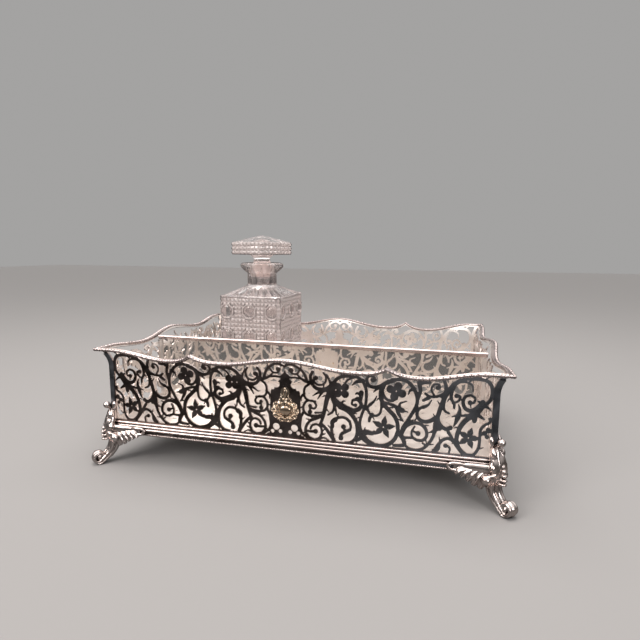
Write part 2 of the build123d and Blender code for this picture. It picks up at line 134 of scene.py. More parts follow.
def place(obj, body, slot, *nodes):
    """Ties a finished piece to its body and hides the CAD nodes it stands for; the slot argument is not used.
    """
    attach(obj, body)
    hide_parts(*nodes)


def skin_faces(rings, columns):
    """Faces of a closed skin: quads between neighbouring rings of vertices, and a cap at each end."""
    faces = []
    for i in range(rings - 1):
        for j in range(columns):
            j2 = (j + 1) % columns
            faces.append((i * columns + j, i * columns + j2, (i + 1) * columns + j2, (i + 1) * columns + j))
    faces.append(tuple(range(columns))[::-1])
    faces.append(tuple((rings - 1) * columns + k for k in range(columns)))
    return faces


def flipped(faces):
    return [face[::-1] for face in faces]


def mirrored(vertices, faces, mirror_x, mirror_y):
    """A piece of the front right corner, mirrored to another corner."""
    vertices = np.asarray(vertices, float) * [-1 if mirror_x else 1, -1 if mirror_y else 1, 1]
    return vertices, flipped(faces) if mirror_x != mirror_y else faces


def smooth_path(points, steps=8):
    """Catmull-Rom curve through the points."""
    p = np.asarray(points, float)
    p = np.vstack([2 * p[0] - p[1], p, 2 * p[-1] - p[-2]])
    t = np.linspace(0, 1, steps, endpoint=False)[:, None]
    pieces = []
    for a, b, c, d in zip(p[:-3], p[1:-2], p[2:-1], p[3:]):
        square = (2 * a - 5 * b + 4 * c - d) * t**2
        cube = (3 * b - a - 3 * c + d) * t**3
        pieces.append(0.5 * (2 * b + (c - a) * t + square + cube))
    return np.vstack(pieces + [p[-2:-1]])


def turned(vertices, quarter_turns):
    """Vertices turned about the vertical by quarter turns."""
    angle = quarter_turns * pi / 2
    c, s = round(cos(angle)), round(sin(angle))
    return np.asarray(vertices, float) @ np.array([[c, s, 0], [-s, c, 0], [0, 0, 1]])


# ---- Pierced scrollwork ----
# Drawn for the right half of a long wall: distance from the middle, height above the floor.
# A vine is (weight at its start, weight at its end, its points); a bud is (distance, height, radius).
VINES = [
    # arch and ring round the first quatrefoil
    (1.9, 1.5, [(36, 44), (38.8, 48.4), (43, 51), (50, 52), (56, 50.5), (60, 45), (61, 38), (60.5, 31)]),
    (1.4, 1.5, [(60.5, 31), (58, 24), (56.6, 17), (57.6, 11)]),
    (1.6, 2.3, [(38, 47), (37, 42), (36.8, 37), (38.5, 33), (42, 30)]),
    (2.6, 0.6, [(58, 49), (55, 48.4), (52.4, 47), (50.5, 45)]),
    (1.2, 0.9, [(53, 51.5), (48.5, 49.6), (45.5, 46.5), (44, 42)]),
    # leaf and small spiral under it
    (3.4, 1.3, [(40, 30.5), (44, 28.5), (48, 27), (52, 26.2), (56, 28), (57.3, 31.5), (54.5, 34.6),
        (51, 33.8)]),
    (1.1, 1.1, [(51, 33.8), (50.6, 31), (53, 30)]),
    (1.6, 0.5, [(42.5, 30), (44, 32.5), (45.6, 32.7)]),
    (1.2, 2.5, [(57, 31), (57, 36), (57.3, 40)]),
    (1.5, 0.8, [(57, 38), (54.6, 39.4), (53.2, 38.8)]),
    (1.1, 0.8, [(57, 35.5), (54.4, 36), (52.8, 35)]),
    # trunk at the left of the ring and its leaves
    (3.0, 1.5, [(36, 45), (34, 39), (32, 33), (31, 28), (30, 23), (28.8, 18), (27.5, 14)]),
    (2.0, 1.0, [(35.6, 40), (36, 34), (37.6, 29), (36.4, 24), (33, 21.3)]),
    (1.4, 0.7, [(37.6, 29), (38.8, 25), (39.2, 22)]),
    (1.5, 0.7, [(34.5, 45), (33.5, 48), (31.6, 52)]),
    (2.4, 0.5, [(33, 40.5), (28, 38.8), (24.5, 37), (21.3, 34.8)]),
    (1.6, 0.5, [(29, 39), (26.8, 35.5), (25, 32.6)]),
    # upper spiral
    (2.2, 1.5, [(36, 45), (32.5, 41.4), (28, 40.2), (23.5, 41), (20.4, 44.6), (19.6, 49.5), (21.5, 53.5)]),
    (1.1, 1.3, [(29.5, 53), (31.3, 50), (30.8, 46), (28.5, 43.9), (25, 43.6), (22.3, 45.8), (22.4, 49)]),
    (1.9, 1.0, [(20, 44.5), (16, 45.4), (12.5, 47.2), (9.6, 50)]),
    (1.3, 1.1, [(18.5, 43.4), (15.6, 41), (14.6, 37), (15.6, 32.6), (19, 30.9), (23.2, 30.6)]),
    (1.2, 0.5, [(15, 36), (12.6, 34), (12.4, 30)]),
    # middle spiral
    (1.2, 1.5, [(21, 31), (17, 30.6), (14.6, 27.5), (14.2, 23.5), (16.4, 20.4), (20.5, 19.3),
        (25, 19.6), (29.6, 21)]),
    (1.1, 1.2, [(22.2, 30.6), (24, 27.6), (22.5, 25.2), (19.6, 25.6)]),
    (1.2, 1.0, [(19.3, 27.5), (19.2, 22.6)]),
    (1.2, 0.5, [(23.4, 22), (27.8, 22.6), (29.6, 24)]),
    (1.5, 1.3, [(14.5, 22), (12.4, 18), (11.8, 14), (11.6, 9.5), (13.5, 5), (17.5, 2)]),
    # lower left spiral
    (1.6, 1.4, [(28.6, 20), (24, 17.6), (19.4, 15.4), (16.4, 11), (16, 6.4), (18.6, 2.6), (23, 1)]),
    (1.2, 1.2, [(23, 1), (27, 3.4), (28.4, 7.5), (27.4, 11.4), (24.4, 13.2), (21, 12), (19.7, 9.4)]),
    (1.2, 1.6, [(17.5, 7.4), (20.5, 7.2), (23.4, 7.8)]),
    (1.9, 1.5, [(27.5, 14), (31, 11), (34, 7), (37.4, 1.6)]),
    (1.3, 0.5, [(26, 2), (30, 3.2), (33.6, 1.6)]),
    (1.1, 0.5, [(27.4, 5), (31, 6.4)]),
    # round spiral with a hooked leaf
    (1.7, 1.4, [(38, 1.4), (36.4, 6), (35.8, 11), (36.4, 15), (38.8, 18.6), (42.3, 20.2), (46, 20),
        (49.2, 17.4)]),
    (1.4, 1.2, [(49.2, 17.4), (50, 13.4), (48.2, 10.8), (45.2, 10.8)]),
    (2.6, 1.8, [(38.4, 18), (36.2, 16), (36.4, 12.5)]),
    (2.5, 1.5, [(42, 28), (47, 26), (51, 22.4), (54, 17.5), (55, 11.5), (54, 6), (50.6, 2), (46, 1)]),
    (1.6, 1.9, [(49.4, 11.4), (46, 9.4), (43.2, 7.4), (42.6, 4.6)]),
    # spiral under the cusp
    (2.3, 1.2, [(80, 51), (75, 48.8), (71, 46), (66.5, 44.8), (62.6, 46), (61, 50), (62.6, 52.8),
        (66, 52.8)]),
    (1.1, 1.1, [(66, 52.8), (67.4, 50.5), (65.6, 49)]),
    (2.1, 0.5, [(70, 45.4), (68, 43.4), (66, 41.2)]),
    # long stem that rings the first star
    (2.4, 1.9, [(73.4, 47.6), (71.6, 43), (71.3, 38), (73, 33.4), (77, 29), (81, 25), (83.4, 20),
        (84, 14)]),
    (1.9, 2.2, [(84, 14), (82, 8), (78, 3.6), (73, 1.6), (68, 1.6)]),
    (0.6, 1.7, [(68.4, 38.5), (66.5, 34.5), (63.6, 31.6)]),
    (1.3, 1.2, [(63.6, 32), (62, 28.6), (64, 24.8), (68, 23.8), (71, 26), (71.8, 31), (71.3, 37)]),
    (0.9, 1.1, [(68.6, 31.2), (68.8, 28.5), (66.4, 27.8)]),
    (1.1, 1.0, [(60.2, 28), (62.6, 27.4)]),
    (1.9, 1.4, [(65.2, 24.4), (63.8, 21.8), (63.4, 19.4)]),
    # broad leaf left of the star
    (3.3, 1.6, [(58.4, 9.6), (62, 10.8), (65.6, 10.4), (67.2, 11.6)]),
    (3.6, 2.2, [(58.5, 8), (60.5, 5.5), (64, 3), (69, 1.2)]),
    (2.0, 1.3, [(57, 5.4), (54.4, 3.4)]),
    (1.6, 0.6, [(60, 11), (60.4, 13.8)]),
    # ring round the second quatrefoil and the stem that leaves it
    (1.6, 1.4, [(76.5, 50.4), (73.6, 47.4), (72.4, 43), (73.4, 39), (76, 36.4), (79.6, 36), (81.4, 37.6)]),
    (1.9, 1.7, [(79, 51.4), (85, 52), (90, 50.4), (94, 46), (96.5, 40), (96.3, 34), (93.6, 28),
        (90.6, 22.5)]),
    (1.7, 2.0, [(90.6, 22.5), (87.6, 17), (86.2, 11)]),
    (2.0, 0.5, [(94.4, 46), (91.6, 44.4), (90.4, 41.4)]),
    (2.4, 1.4, [(97.5, 53), (97.8, 49), (98.6, 44.5), (97, 38)]),
    (2.4, 1.0, [(104, 51.6), (100.4, 50.8), (97.8, 48)]),
    # jagged leaf between the stems
    (1.2, 2.6, [(73.6, 34.4), (79, 33), (83.4, 31), (86.6, 29.4)]),
    (1.7, 0.5, [(84.6, 31), (85, 34.4), (89.6, 36.4)]),
    (2.4, 0.7, [(83, 31), (84, 27), (85.6, 24), (87.4, 21.6)]),
    (1.3, 0.5, [(86, 29.4), (90.6, 28.6)]),
    # round spiral in the lower middle
    (2.0, 1.4, [(86.4, 12), (89.4, 18), (94, 20.8), (99, 20.8), (103, 17.6), (104, 12.5), (101.6, 9),
        (97.6, 8.5)]),
    (1.4, 0.9, [(97.6, 8.5), (94.2, 10.5), (93.6, 14.6), (95.6, 18.4)]),
    (1.1, 1.1, [(94.4, 15), (98, 13.5)]),
    (1.0, 0.4, [(91, 20.4), (93, 22.4), (95.6, 23.4)]),
    (2.6, 1.5, [(86.2, 11), (88, 8), (88.4, 4), (82, 3)]),
    (1.4, 1.2, [(89, 9.6), (94.6, 10)]),
    (1.3, 1.7, [(88.4, 5), (91.6, 2), (97, 1.2), (102, 3), (106, 7.6), (108.4, 12.5), (109.3, 17)]),
    (0.9, 1.0, [(101.4, 6.8), (103.6, 5.6), (106, 7.2)]),
    (1.9, 0.5, [(110.4, 17.6), (107.6, 16), (105.4, 14.8)]),
    # trunk up to the right-hand arch, with its spirals
    (2.0, 2.3, [(109.3, 16), (109.6, 22), (111.4, 29), (113, 35), (115, 41), (118, 47), (121, 51.4)]),
    (2.3, 1.9, [(121, 51.4), (125, 54.4), (130, 56.4), (137, 57)]),
    (0.5, 1.9, [(106.4, 38.6), (104.2, 35), (101, 33.2)]),
    (1.3, 2.2, [(101, 33.4), (98, 31.4), (96.8, 28), (98, 24.6), (101.6, 22.8), (105.6, 23.4),
        (110, 26.4)]),
    (0.9, 1.0, [(104.4, 31.5), (106, 28.6), (103.4, 27.8)]),
    (1.5, 2.2, [(111, 28), (111.6, 24), (113.6, 20.6), (117, 18.6), (119.8, 20)]),
    (2.3, 2.0, [(110.6, 22), (112.6, 18.4)]),
    (1.7, 1.0, [(115, 40.4), (114.5, 35), (115.6, 31.6), (118.4, 30.2)]),
    (1.4, 1.9, [(100.8, 38), (104.4, 40.2)]),
    (1.2, 1.7, [(102, 43), (105, 41.2), (110, 41.6), (114.4, 44), (115.8, 48), (114.4, 53)]),
    (1.0, 1.2, [(108, 42), (106, 46), (107.4, 49.8), (110.6, 50.4), (111.6, 48)]),
    # pointed leaf
    (0.5, 2.6, [(124.4, 37), (125.4, 33), (124.4, 28.4)]),
    (2.6, 0.6, [(124.4, 28.4), (123.2, 24.4), (121.8, 21.2)]),
    (1.3, 0.5, [(124.5, 29.5), (120.4, 28)]),
    (1.4, 1.0, [(124.5, 29.6), (128, 29.4), (132, 30.6)]),
    # spiral inside the arch
    (2.4, 1.3, [(140, 40), (136.4, 35.4), (132.4, 33.4), (128.8, 34.8), (127.2, 39), (128.6, 43),
        (132, 44.4)]),
    (1.3, 1.1, [(132, 44.4), (134.9, 42.4), (134.4, 39.4), (132.4, 38.8)]),
    (0.5, 1.0, [(132.4, 35.6), (132, 38.6)]),
    (1.5, 0.8, [(121, 50.4), (124.6, 53.2), (129, 53.4), (132.6, 51.4), (133.4, 47.4)]),
    (2.0, 1.2, [(121.4, 51), (119.6, 46), (119.4, 41), (121.4, 37.4), (121.6, 34.4)]),
    (0.9, 1.6, [(120.4, 37.6), (124, 39.4), (125.2, 42.4), (122.8, 43.6)]),
    # right-hand arch and the ring round the second star
    (1.9, 1.6, [(130, 56.4), (137, 56.4), (142.4, 55), (145.5, 50), (145.2, 43), (142, 38.4), (138, 33.6)]),
    (2.9, 1.5, [(139, 36), (136, 31.5), (131, 27.6), (127, 22.6), (124.6, 16), (124.4, 10), (127, 5),
        (131, 1.6)]),
    (1.5, 1.3, [(131, 1.6), (136, 2.4), (139, 8), (139.3, 15), (139.6, 20.4), (142, 24), (145, 26),
        (145.4, 29)]),
    (1.9, 0.5, [(140.6, 37.6), (143.6, 36.4), (145.8, 34.2)]),
    (1.7, 1.0, [(141, 38.8), (137, 40.4)]),
    (2.6, 2.2, [(135.6, 31), (135.2, 26.4)]),
    (2.2, 1.0, [(137, 31), (141.2, 28.2)]),
    (1.2, 1.0, [(142, 19), (147.5, 19.6)]),
    # spiral at the foot of the trunk
    (1.6, 1.6, [(108.6, 0.8), (112, 6.6), (115, 10.6), (118.6, 12), (122, 10.4), (125.6, 5.6), (129.4, 1)]),
    (2.4, 1.0, [(109.6, 2), (112.2, 4), (113, 7)]),
    (1.0, 1.2, [(119.4, 1), (120, 5), (117.6, 6.8)]),
    (1.7, 1.3, [(118.6, 16.4), (120.8, 13.2), (123.4, 8.6)]),
    # over the reserve
    (1.6, 1.3, [(16.8, 45.6), (15, 51), (11.6, 55.2), (6.6, 58), (2, 57.4), (-1, 54.4), (0, 50.4)]),
    (1.1, 1.2, [(12, 54.6), (9.6, 51), (6, 50.6), (4.4, 52.6)]),
    (1.3, 1.0, [(0, 50.4), (3.6, 47.6), (8, 47.6), (12.4, 47)]),
    # under the reserve
    (2.4, 1.4, [(0, 2.4), (4, 1.8), (9, 2.6), (14, 1.6)]),
]
BUDS = [
    (23.6, 48.6, 2.1), (19.3, 27, 1.7), (19.2, 22.2, 2.0), (23.6, 7.6, 2.2), (44.6, 13.2, 2.2),
    (42.8, 4.4, 2.2), (53.2, 30.3, 1.6), (65.2, 50, 2.0), (66.2, 28, 1.9), (98, 13.6, 2.1),
    (103.2, 28.4, 2.4), (110.2, 47.8, 1.8), (122.8, 43, 1.8), (131.8, 39, 1.9), (117, 6.6, 1.8),
    (4.9, 53.4, 2.3), (142.3, 18.2, 2.0), (144.6, 20.8, 2.0), (144, 15.8, 1.8), (145.3, 28.6, 1.5),
]
# Flowers as (distance, height, petals, petal reach, petal half width, first petal's angle)
FLOWERS = [
    (42.8, 40.6, 4, 6.6, 2.8, 45),
    (82, 43.0, 4, 7.2, 3.0, 72),
    (73.6, 15.8, 5, 8.4, 2.1, 82),
    (132, 13.8, 5, 7.6, 2.0, 75),
]
FLOWER_EYE = 0.55  # radius of the hole in a flower's middle
# The plain vase-shaped reserve behind the badge, as (height, half width)
RESERVE = [
    (0, 13), (6, 12.4), (9, 10.8), (14, 11.2), (20, 12),
    (30, 11.8), (36, 11.4), (39, 10), (46, 3.6), (50, 2.6),
]
# Round holes in the reserve, as (distance, height, radius)
HOLES = [(7.2, 8.4, 2.7), (3.9, 4.9, 1.5), (10.2, 4.6, 1.5), (7.0, 41.6, 2.7), (9.6, 38.6, 1.2)]
VINE_WEIGHT = 0.72  # half a vine's width in millimetres, for a weight of one
BUD_WEIGHT = 0.86
BARB_SPACING = 10.0
FOOT_BAND = 1.4  # plain metal left along the foot
RIM_BAND = 3.2  # and under the rim
CORNER_BAND = 3.6  # and at the corners
END_SHIFT = 12.4  # an end wall shows the same scrollwork from this distance on
GRID = 0.35  # spacing of the grid that the metal is drawn on
OPEN = -3.0  # distance value of the empty grid
SHORTEST_LOOP = 8  # grid crossings; smaller islands and holes are dropped


class Cutout:
    """Signed distance, positive in metal, on a grid over one half of a wall."""

    def __init__(self, reach, top):
        self.u = np.arange(0, reach + GRID, GRID)
        self.z = np.arange(WALL_BOTTOM - 2 * GRID, top + 2 * GRID, GRID)
        self.metal = np.full((len(self.z), len(self.u)), OPEN)

    def window(self, low, high):
        """The part of the grid between two corners, and its coordinates."""
        u0, u1 = np.searchsorted(self.u, [low[0], high[0]])
        z0, z1 = np.searchsorted(self.z, [low[1], high[1]])
        return (slice(z0, z1), slice(u0, u1)), self.u[None, u0:u1], self.z[z0:z1, None]

    def vine(self, start, end, points):
        """A curved stroke through the points, with half widths start and end."""
        path = smooth_path(points)
        width = np.linspace(start, end, len(path))
        for a, b, wa, wb in zip(path[:-1], path[1:], width[:-1], width[1:]):
            margin = max(wa, wb) + 1.0
            block, u, z = self.window(np.minimum(a, b) - margin, np.maximum(a, b) + margin)
            if not self.metal[block].size:
                continue
            step = b - a
            along = np.clip(((u - a[0]) * step[0] + (z - a[1]) * step[1]) / max(step @ step, 1e-9), 0, 1)
            away = np.hypot(u - a[0] - along * step[0], z - a[1] - along * step[1])
            self.metal[block] = np.maximum(self.metal[block], wa + along * (wb - wa) - away)

    def barbs(self, start, end, points):
        """Small thorns along the outside of a long curving vine."""
        path = smooth_path(points)
        run = np.concatenate([[0], np.cumsum(np.hypot(*(path[1:] - path[:-1]).T))])
        for at in np.arange(BARB_SPACING, run[-1] - 0.6 * BARB_SPACING, BARB_SPACING):
            k = int(np.clip(np.searchsorted(run, at), 2, len(path) - 3))
            ahead = path[k + 2] - path[k]
            behind = path[k] - path[k - 2]
            bend = behind[0] * ahead[1] - behind[1] * ahead[0]
            along = (path[k + 2] - path[k - 2]) / np.linalg.norm(path[k + 2] - path[k - 2])
            outwards = np.array([along[1], -along[0]]) * (1 if bend > 0 else -1)
            width = start + (end - start) * at / run[-1]
            middle = path[k] + outwards * (width + 0.5) + along * 0.4
            tip = path[k] + outwards * (width + 1.9) + along * 1.8
            self.vine(0.8, 0.25, np.array([path[k], middle, tip]))

    def bud(self, x, y, radius):
        block, u, z = self.window((x - radius - 1, y - radius - 1), (x + radius + 1, y + radius + 1))
        self.metal[block] = np.maximum(self.metal[block], radius - np.hypot(u - x, z - y))

    def flower(self, x, y, petals, reach, width, first):
        """Round petals on a flower of four, pointed ones on a flower of five."""
        centre = np.array([x, y])
        for k in range(petals):
            angle = radians(first + 360 * k / petals)
            ray = np.array([cos(angle), sin(angle)])
            if petals == 4:
                self.vine(width * 0.45, width, [centre, centre + (reach - width) * ray])
            else:
                middle = centre + reach / 2 * ray
                self.vine(width * 0.5, width, [centre, middle])
                self.vine(width, 0.3, [middle, centre + reach * ray])
        hole = np.hypot(self.u[None, :] - x, self.z[:, None] - y) - FLOWER_EYE
        self.metal = np.minimum(self.metal, np.maximum(hole, -0.5))


def wall_cutout(half_span, keys, shift, with_reserve):
    """Grid of metal and holes for one whole wall, from its left corner to its right one."""
    top = max(key[1] for key in keys)
    cut = Cutout(half_span + float(flare(top)) + 1, top)
    for start, end, points in VINES:
        points = np.array(points, float) + [-shift, FLOOR_TOP]
        cut.vine(VINE_WEIGHT * start, VINE_WEIGHT * end, points)
        cut.barbs(VINE_WEIGHT * start, VINE_WEIGHT * end, points)
    for x, y, radius in BUDS:
        cut.bud(x - shift, y + FLOOR_TOP, BUD_WEIGHT * radius)
    for x, y, petals, reach, width, first in FLOWERS:
        cut.flower(x - shift, y + FLOOR_TOP, petals, reach, width, first)
    u = cut.u[None, :]
    z = cut.z[:, None]
    edge = rim_height(keys, cut.u)[None, :]
    if with_reserve:
        heights, widths = np.array(RESERVE).T
        half_width = np.interp(z - FLOOR_TOP, heights, widths, left=OPEN, right=OPEN)
        cut.metal = np.maximum(cut.metal, half_width - u)
        for x, y, radius in HOLES:
            cut.metal = np.minimum(cut.metal, np.hypot(u - x, z - FLOOR_TOP - y) - radius)
    for band in (FOOT_BAND + FLOOR_TOP - z, z - (edge - RIM_BAND), u - (half_span + flare(z) - CORNER_BAND)):
        cut.metal = np.maximum(cut.metal, band)
    outline = np.minimum(np.minimum(edge - RIM_DROP - z, half_span + flare(z) - u), z - WALL_BOTTOM)
    metal = np.minimum(cut.metal, outline)
    return np.concatenate([-cut.u[:0:-1], cut.u]), cut.z, np.concatenate([metal[:, :0:-1], metal], axis=1)


# Sides of a grid cell: 0 bottom, 1 right, 2 top, 3 left. For each code of metal corners, the sides that the
# edge of the metal joins
CELL_PAIRS = {
    1: [(3, 0)], 2: [(0, 1)], 3: [(3, 1)], 4: [(1, 2)], 5: [(3, 2), (0, 1)], 6: [(0, 2)], 7: [(3, 2)],
    8: [(2, 3)], 9: [(2, 0)], 10: [(3, 0), (1, 2)], 11: [(2, 1)], 12: [(1, 3)], 13: [(1, 0)], 14: [(0, 3)],
}


def contour_loops(u, z, field):
    """Closed loops where the field crosses zero, by marching squares."""
    inside = field > 0
    code = inside[:-1, :-1] * 1 + inside[:-1, 1:] * 2 + inside[1:, 1:] * 4 + inside[1:, :-1] * 8
    links = {}
    for i, j in np.argwhere((code > 0) & (code < 15)):
        sides = ((i, j, 0), (i, j + 1, 1), (i + 1, j, 0), (i, j, 1))
        for a, b in CELL_PAIRS[code[i, j]]:
            links.setdefault(sides[a], []).append(sides[b])
            links.setdefault(sides[b], []).append(sides[a])

    def crossing(key):
        i, j, upright = key
        i2, j2 = (i + 1, j) if upright else (i, j + 1)
        t = field[i, j] / (field[i, j] - field[i2, j2])
        return (u[j] + t * (u[j2] - u[j]), z[i] + t * (z[i2] - z[i]))

    loops = []
    unused = set(links)
    while unused:
        loop = []
        onward = [min(unused)]
        while onward:
            loop.append(onward[0])
            unused.discard(onward[0])
            onward = [k for k in links[onward[0]] if k in unused]
        if len(loop) > SHORTEST_LOOP:
            loops.append(np.array([crossing(key) for key in loop]))
    return loops


def thin_loop(loop, tolerance=0.03):
    """Drops points of a closed loop that lie on the line between those kept."""
    keep = np.zeros(len(loop), bool)
    half = len(loop) // 2
    keep[[0, half]] = True
    stack = [(0, half), (half, len(loop))]
    closed = np.vstack([loop, loop[:1]])
    while stack:
        a, b = stack.pop()
        if b - a < 2:
            continue
        chord = closed[b] - closed[a]
        away = np.abs(np.cross(closed[a + 1 : b] - closed[a], chord)) / max(hypot(*chord), 1e-9)
        k = int(away.argmax())
        if away[k] > tolerance:
            keep[a + 1 + k] = True
            stack += [(a, a + 1 + k), (a + 1 + k, b)]
    return loop[keep]


def sample(u, z, field, points):
    """Field values at points inside the grid."""
    j = np.clip(((points[:, 0] - u[0]) / GRID).astype(int), 0, len(u) - 2)
    i = np.clip(((points[:, 1] - z[0]) / GRID).astype(int), 0, len(z) - 2)
    s = (points[:, 0] - u[j]) / GRID
    t = (points[:, 1] - z[i]) / GRID
    low = field[i, j] * (1 - s) + field[i, j + 1] * s
    high = field[i + 1, j] * (1 - s) + field[i + 1, j + 1] * s
    return low * (1 - t) + high * t


def largest_island(count, triangles):
    """Triangles of the biggest connected part, so no scroll floats loose."""
    parent = list(range(count))

    def root(k):
        while parent[k] != k:
            parent[k] = parent[parent[k]]
            k = parent[k]
        return k

    for a, b, c in triangles:
        parent[root(a)] = root(b)
        parent[root(b)] = root(c)
    roots = [root(a) for a, _, _ in triangles]
    biggest = max(set(roots), key=roots.count)
    return [t for t, r in zip(triangles, roots) if r == biggest]


def pierced_sheet(half_span, keys, shift, with_reserve):
    """Flat triangles of a pierced wall in (distance, height)."""
    u, z, field = wall_cutout(half_span, keys, shift, with_reserve)
    points = []
    edges = []
    for loop in contour_loops(u, z, field):
        loop = thin_loop(loop)
        start = len(points)
        points += [tuple(p) for p in loop]
        edges += [(start + k, start + (k + 1) % len(loop)) for k in range(len(loop))]
    # Points inside the metal, so that the rolled part bends smoothly
    rows, columns = np.meshgrid(
        np.arange(FLARE_START, z[-1], 1.5), np.arange(u[0], u[-1], 2.0), indexing="ij"
    )
    fill = np.column_stack([columns.ravel(), rows.ravel()])
    fill = fill[sample(u, z, field, fill) > 0.5]
    points += [tuple(p) for p in fill]
    vertices, _, triangles, _, _, _ = delaunay_2d_cdt([Vector(p) for p in points], edges, [], 0, 1e-4)
    vertices = np.array([tuple(v) for v in vertices])
    corners = np.array(triangles)
    kept = corners[sample(u, z, field, vertices[corners].mean(axis=1)) > 0]
    return vertices, largest_island(len(vertices), kept.tolist())


def mitre_reach(face, points):
    """Distance from the middle to the mitre, for points of a wall drawn at the front."""
    other = HALF_LENGTH if face == HALF_DEPTH else HALF_DEPTH
    return other + (-points[:, 1] - face)


def pierced_wall(name, sheet, face, quarter_turns, materials):
    """Thick wall, plumb and then rolled outwards; its materials are for outside, inside and edges."""
    flat, triangles = sheet
    used = sorted({k for t in triangles for k in t})
    index = {k: n for n, k in enumerate(used)}
    flat = flat[used]
    triangles = [tuple(index[k] for k in t) for t in triangles]
    lean = np.arcsin(np.clip((flat[:, 1] - FLARE_START) / FLARE_RADIUS, 0, 1))
    outer = np.column_stack([flat[:, 0], -(face + flare(flat[:, 1])), flat[:, 1]])
    inner = outer + SHEET * np.column_stack([np.zeros(len(flat)), np.cos(lean), np.sin(lean)])
    # The ends follow the mitre, so the inner face is narrower by the sheet's thickness
    inner[:, 0] = np.clip(inner[:, 0], -mitre_reach(face, inner), mitre_reach(face, inner))
    count = len(flat)
    faces = triangles + [(c + count, b + count, a + count) for a, b, c in triangles]
    kinds = [0] * len(triangles) + [1] * len(triangles)
    sides = dict.fromkeys(edge for a, b, c in triangles for edge in ((a, b), (b, c), (c, a)))
    for a, b in sides:
        if (b, a) not in sides:
            faces.append((b, a, a + count, b + count))
            kinds.append(2)
    vertices = turned(np.vstack([outer, inner]), quarter_turns)
    return make_object(name, vertices, faces, materials, kinds)


# ---- Strips that run round the tray: rims and base mouldings ----
def arc(centre, radius, start, stop, steps, share=0.0):
    """Points of an arc in a section, with the bead share each one takes."""
    angles = np.radians(np.linspace(start, stop, steps))
    return [(centre[0] + radius * cos(a), centre[1] + radius * sin(a), share) for a in angles]


# Flat strip with a raised inner edge and a beaded outer edge; outward and up from the wall's middle line
RIM_SECTION = (
    [(-2.1, -1.1, 0), (-2.1, 0.35, 0)]
    + arc((-1.6, 0.35), 0.5, 180, 30, 4)
    + [(-0.9, 0.35, 0), (0.9, 0.4, 0), (1.15, 0.1, 0)]
    + arc((1.9, -0.1), 0.6, 150, -110, 8, 1.0)
    + [(1.3, -1.3, 0)]
)
RIM_BEADS = (2.2, 0.85)  # pitch and depth

# Three reeds over a cove and a milled foot, the cove painted dark as shade; outward from the wall's face and
# up from the floor's top
MOULDING_SECTION = (
    [(0.0, 0.5, 0), (0.9, 0.5, 0)]
    + arc((1.15, -0.4), 0.9, 70, -75, 6)
    + [(1.15, -1.5, 0), (1.35, -1.7, 0)]
    + arc((1.5, -2.9), 1.1, 70, -60, 6)
    + [(1.75, -4.0, 0)]
    + arc((1.9, -5.2), 1.0, 75, -70, 6)
    + [(1.4, -6.4, 0), (0.8, -6.8, 0), (0.6, -7.6, 0), (0.6, -8.2, 0), (0.8, -8.7, 0)]
    + arc((1.1, -9.5), 0.4, 110, -90, 7, 1.0)
    + [(0.0, -10.1, 0)]
)
MOULDING_BEADS = (1.6, 0.8)
COVE = (-8.8, -6.3)  # heights between which the moulding takes the dark outside silver as painted shade in its cove
MITRE_RUN = 12.0  # length at each corner over which a strip's stations fan out to the mitre
STATIONS_PER_BEAD = 7


def rim_path(keys):
    def path(stations):
        height = rim_height(keys, stations)
        return flare(height) - SHEET / 2, height - RIM_DROP

    return path


def moulding_path(stations):
    return np.zeros(len(stations)), np.full(len(stations), FLOOR_TOP)


def side_strip(name, half_span, face, quarter_turns, path, section, beads, materials, dark=(0, 0)):
    """Sweeps a section along one side between its mitres.

    path gives (outward, height) of the section's origin at a distance along the side. section is a closed
    list of (outward, up, bead share), and the share is how much of the scalloping each point takes. Faces
    between the two heights of dark take the second material.
    """
    pitch, depth = beads
    end = half_span + path(np.array([half_span]))[0][0]
    count = 2 * int(end / pitch * STATIONS_PER_BEAD / 2)
    stations = np.linspace(-end, end, count)
    outward, height = path(stations)
    section = np.array(section, float)
    swell = np.abs(np.cos(pi * stations / pitch)) * depth
    middle = section[section[:, 2] > 0, :2].mean(axis=0)
    arms = (section[:, :2] - middle) * section[:, 2:3]
    arms /= max(np.abs(arms).max(), 1e-9)
    out = outward[:, None] + section[None, :, 0] + swell[:, None] * arms[None, :, 0]
    up = height[:, None] + section[None, :, 1] + swell[:, None] * arms[None, :, 1]
    # Near the corners the stations fan out, so that the section ends on the mitre
    along = np.abs(stations)[:, None]
    share = np.clip((along - (half_span - MITRE_RUN)) / (end - half_span + MITRE_RUN), 0, 1)
    limit = half_span + out
    x = np.sign(stations)[:, None] * (along + share * (limit - end))
    vertices = np.stack([x, -(face + out), up], axis=2).reshape(-1, 3)
    faces = skin_faces(count, len(section))
    # Faces in the cove take the second material, a darker silver painted in as shade
    in_cove = (section[:, 1] > dark[0]) & (section[:, 1] < dark[1])
    kinds = [int(all(in_cove[k % len(section)] for k in corners)) for corners in faces]
    return make_object(name, turned(vertices, quarter_turns), faces, materials, kinds, sharp=50)


# ---- Feet ----
REED_DEPTH = 0.38  # of the leg's reeds, as a share of its half width
LEG_REEDS = 6
TOE_CENTRE = np.array([12.6, 6.1])
TOE_TURN = 4.3  # the toe's scroll starts this far from its middle
BEADS = 5
BEAD_PITCH = 3.1
WING_OUT = 3.9  # distance from the wall to the middle of an acanthus leaf
# Lobes of an acanthus leaf, as (root, tip, weight)
WING_LOBES = (
    ((0, 26), (5, 17.2), 2.9),
    ((3, 27), (9.6, 15.8), 2.9),
    ((7, 28), (14, 17.6), 2.8),
    ((11, 28.4), (18, 20.2), 2.5),
    ((15, 28.6), (22, 22.6), 2.2),
    ((19, 28.6), (26, 24.4), 1.9),
)
# Axes of a foot's parts at the front right corner: outwards on the diagonal, sideways, up
DIAGONAL = np.array([[sqrt(0.5), -sqrt(0.5), 0], [sqrt(0.5), sqrt(0.5), 0], [0, 0, 1]])
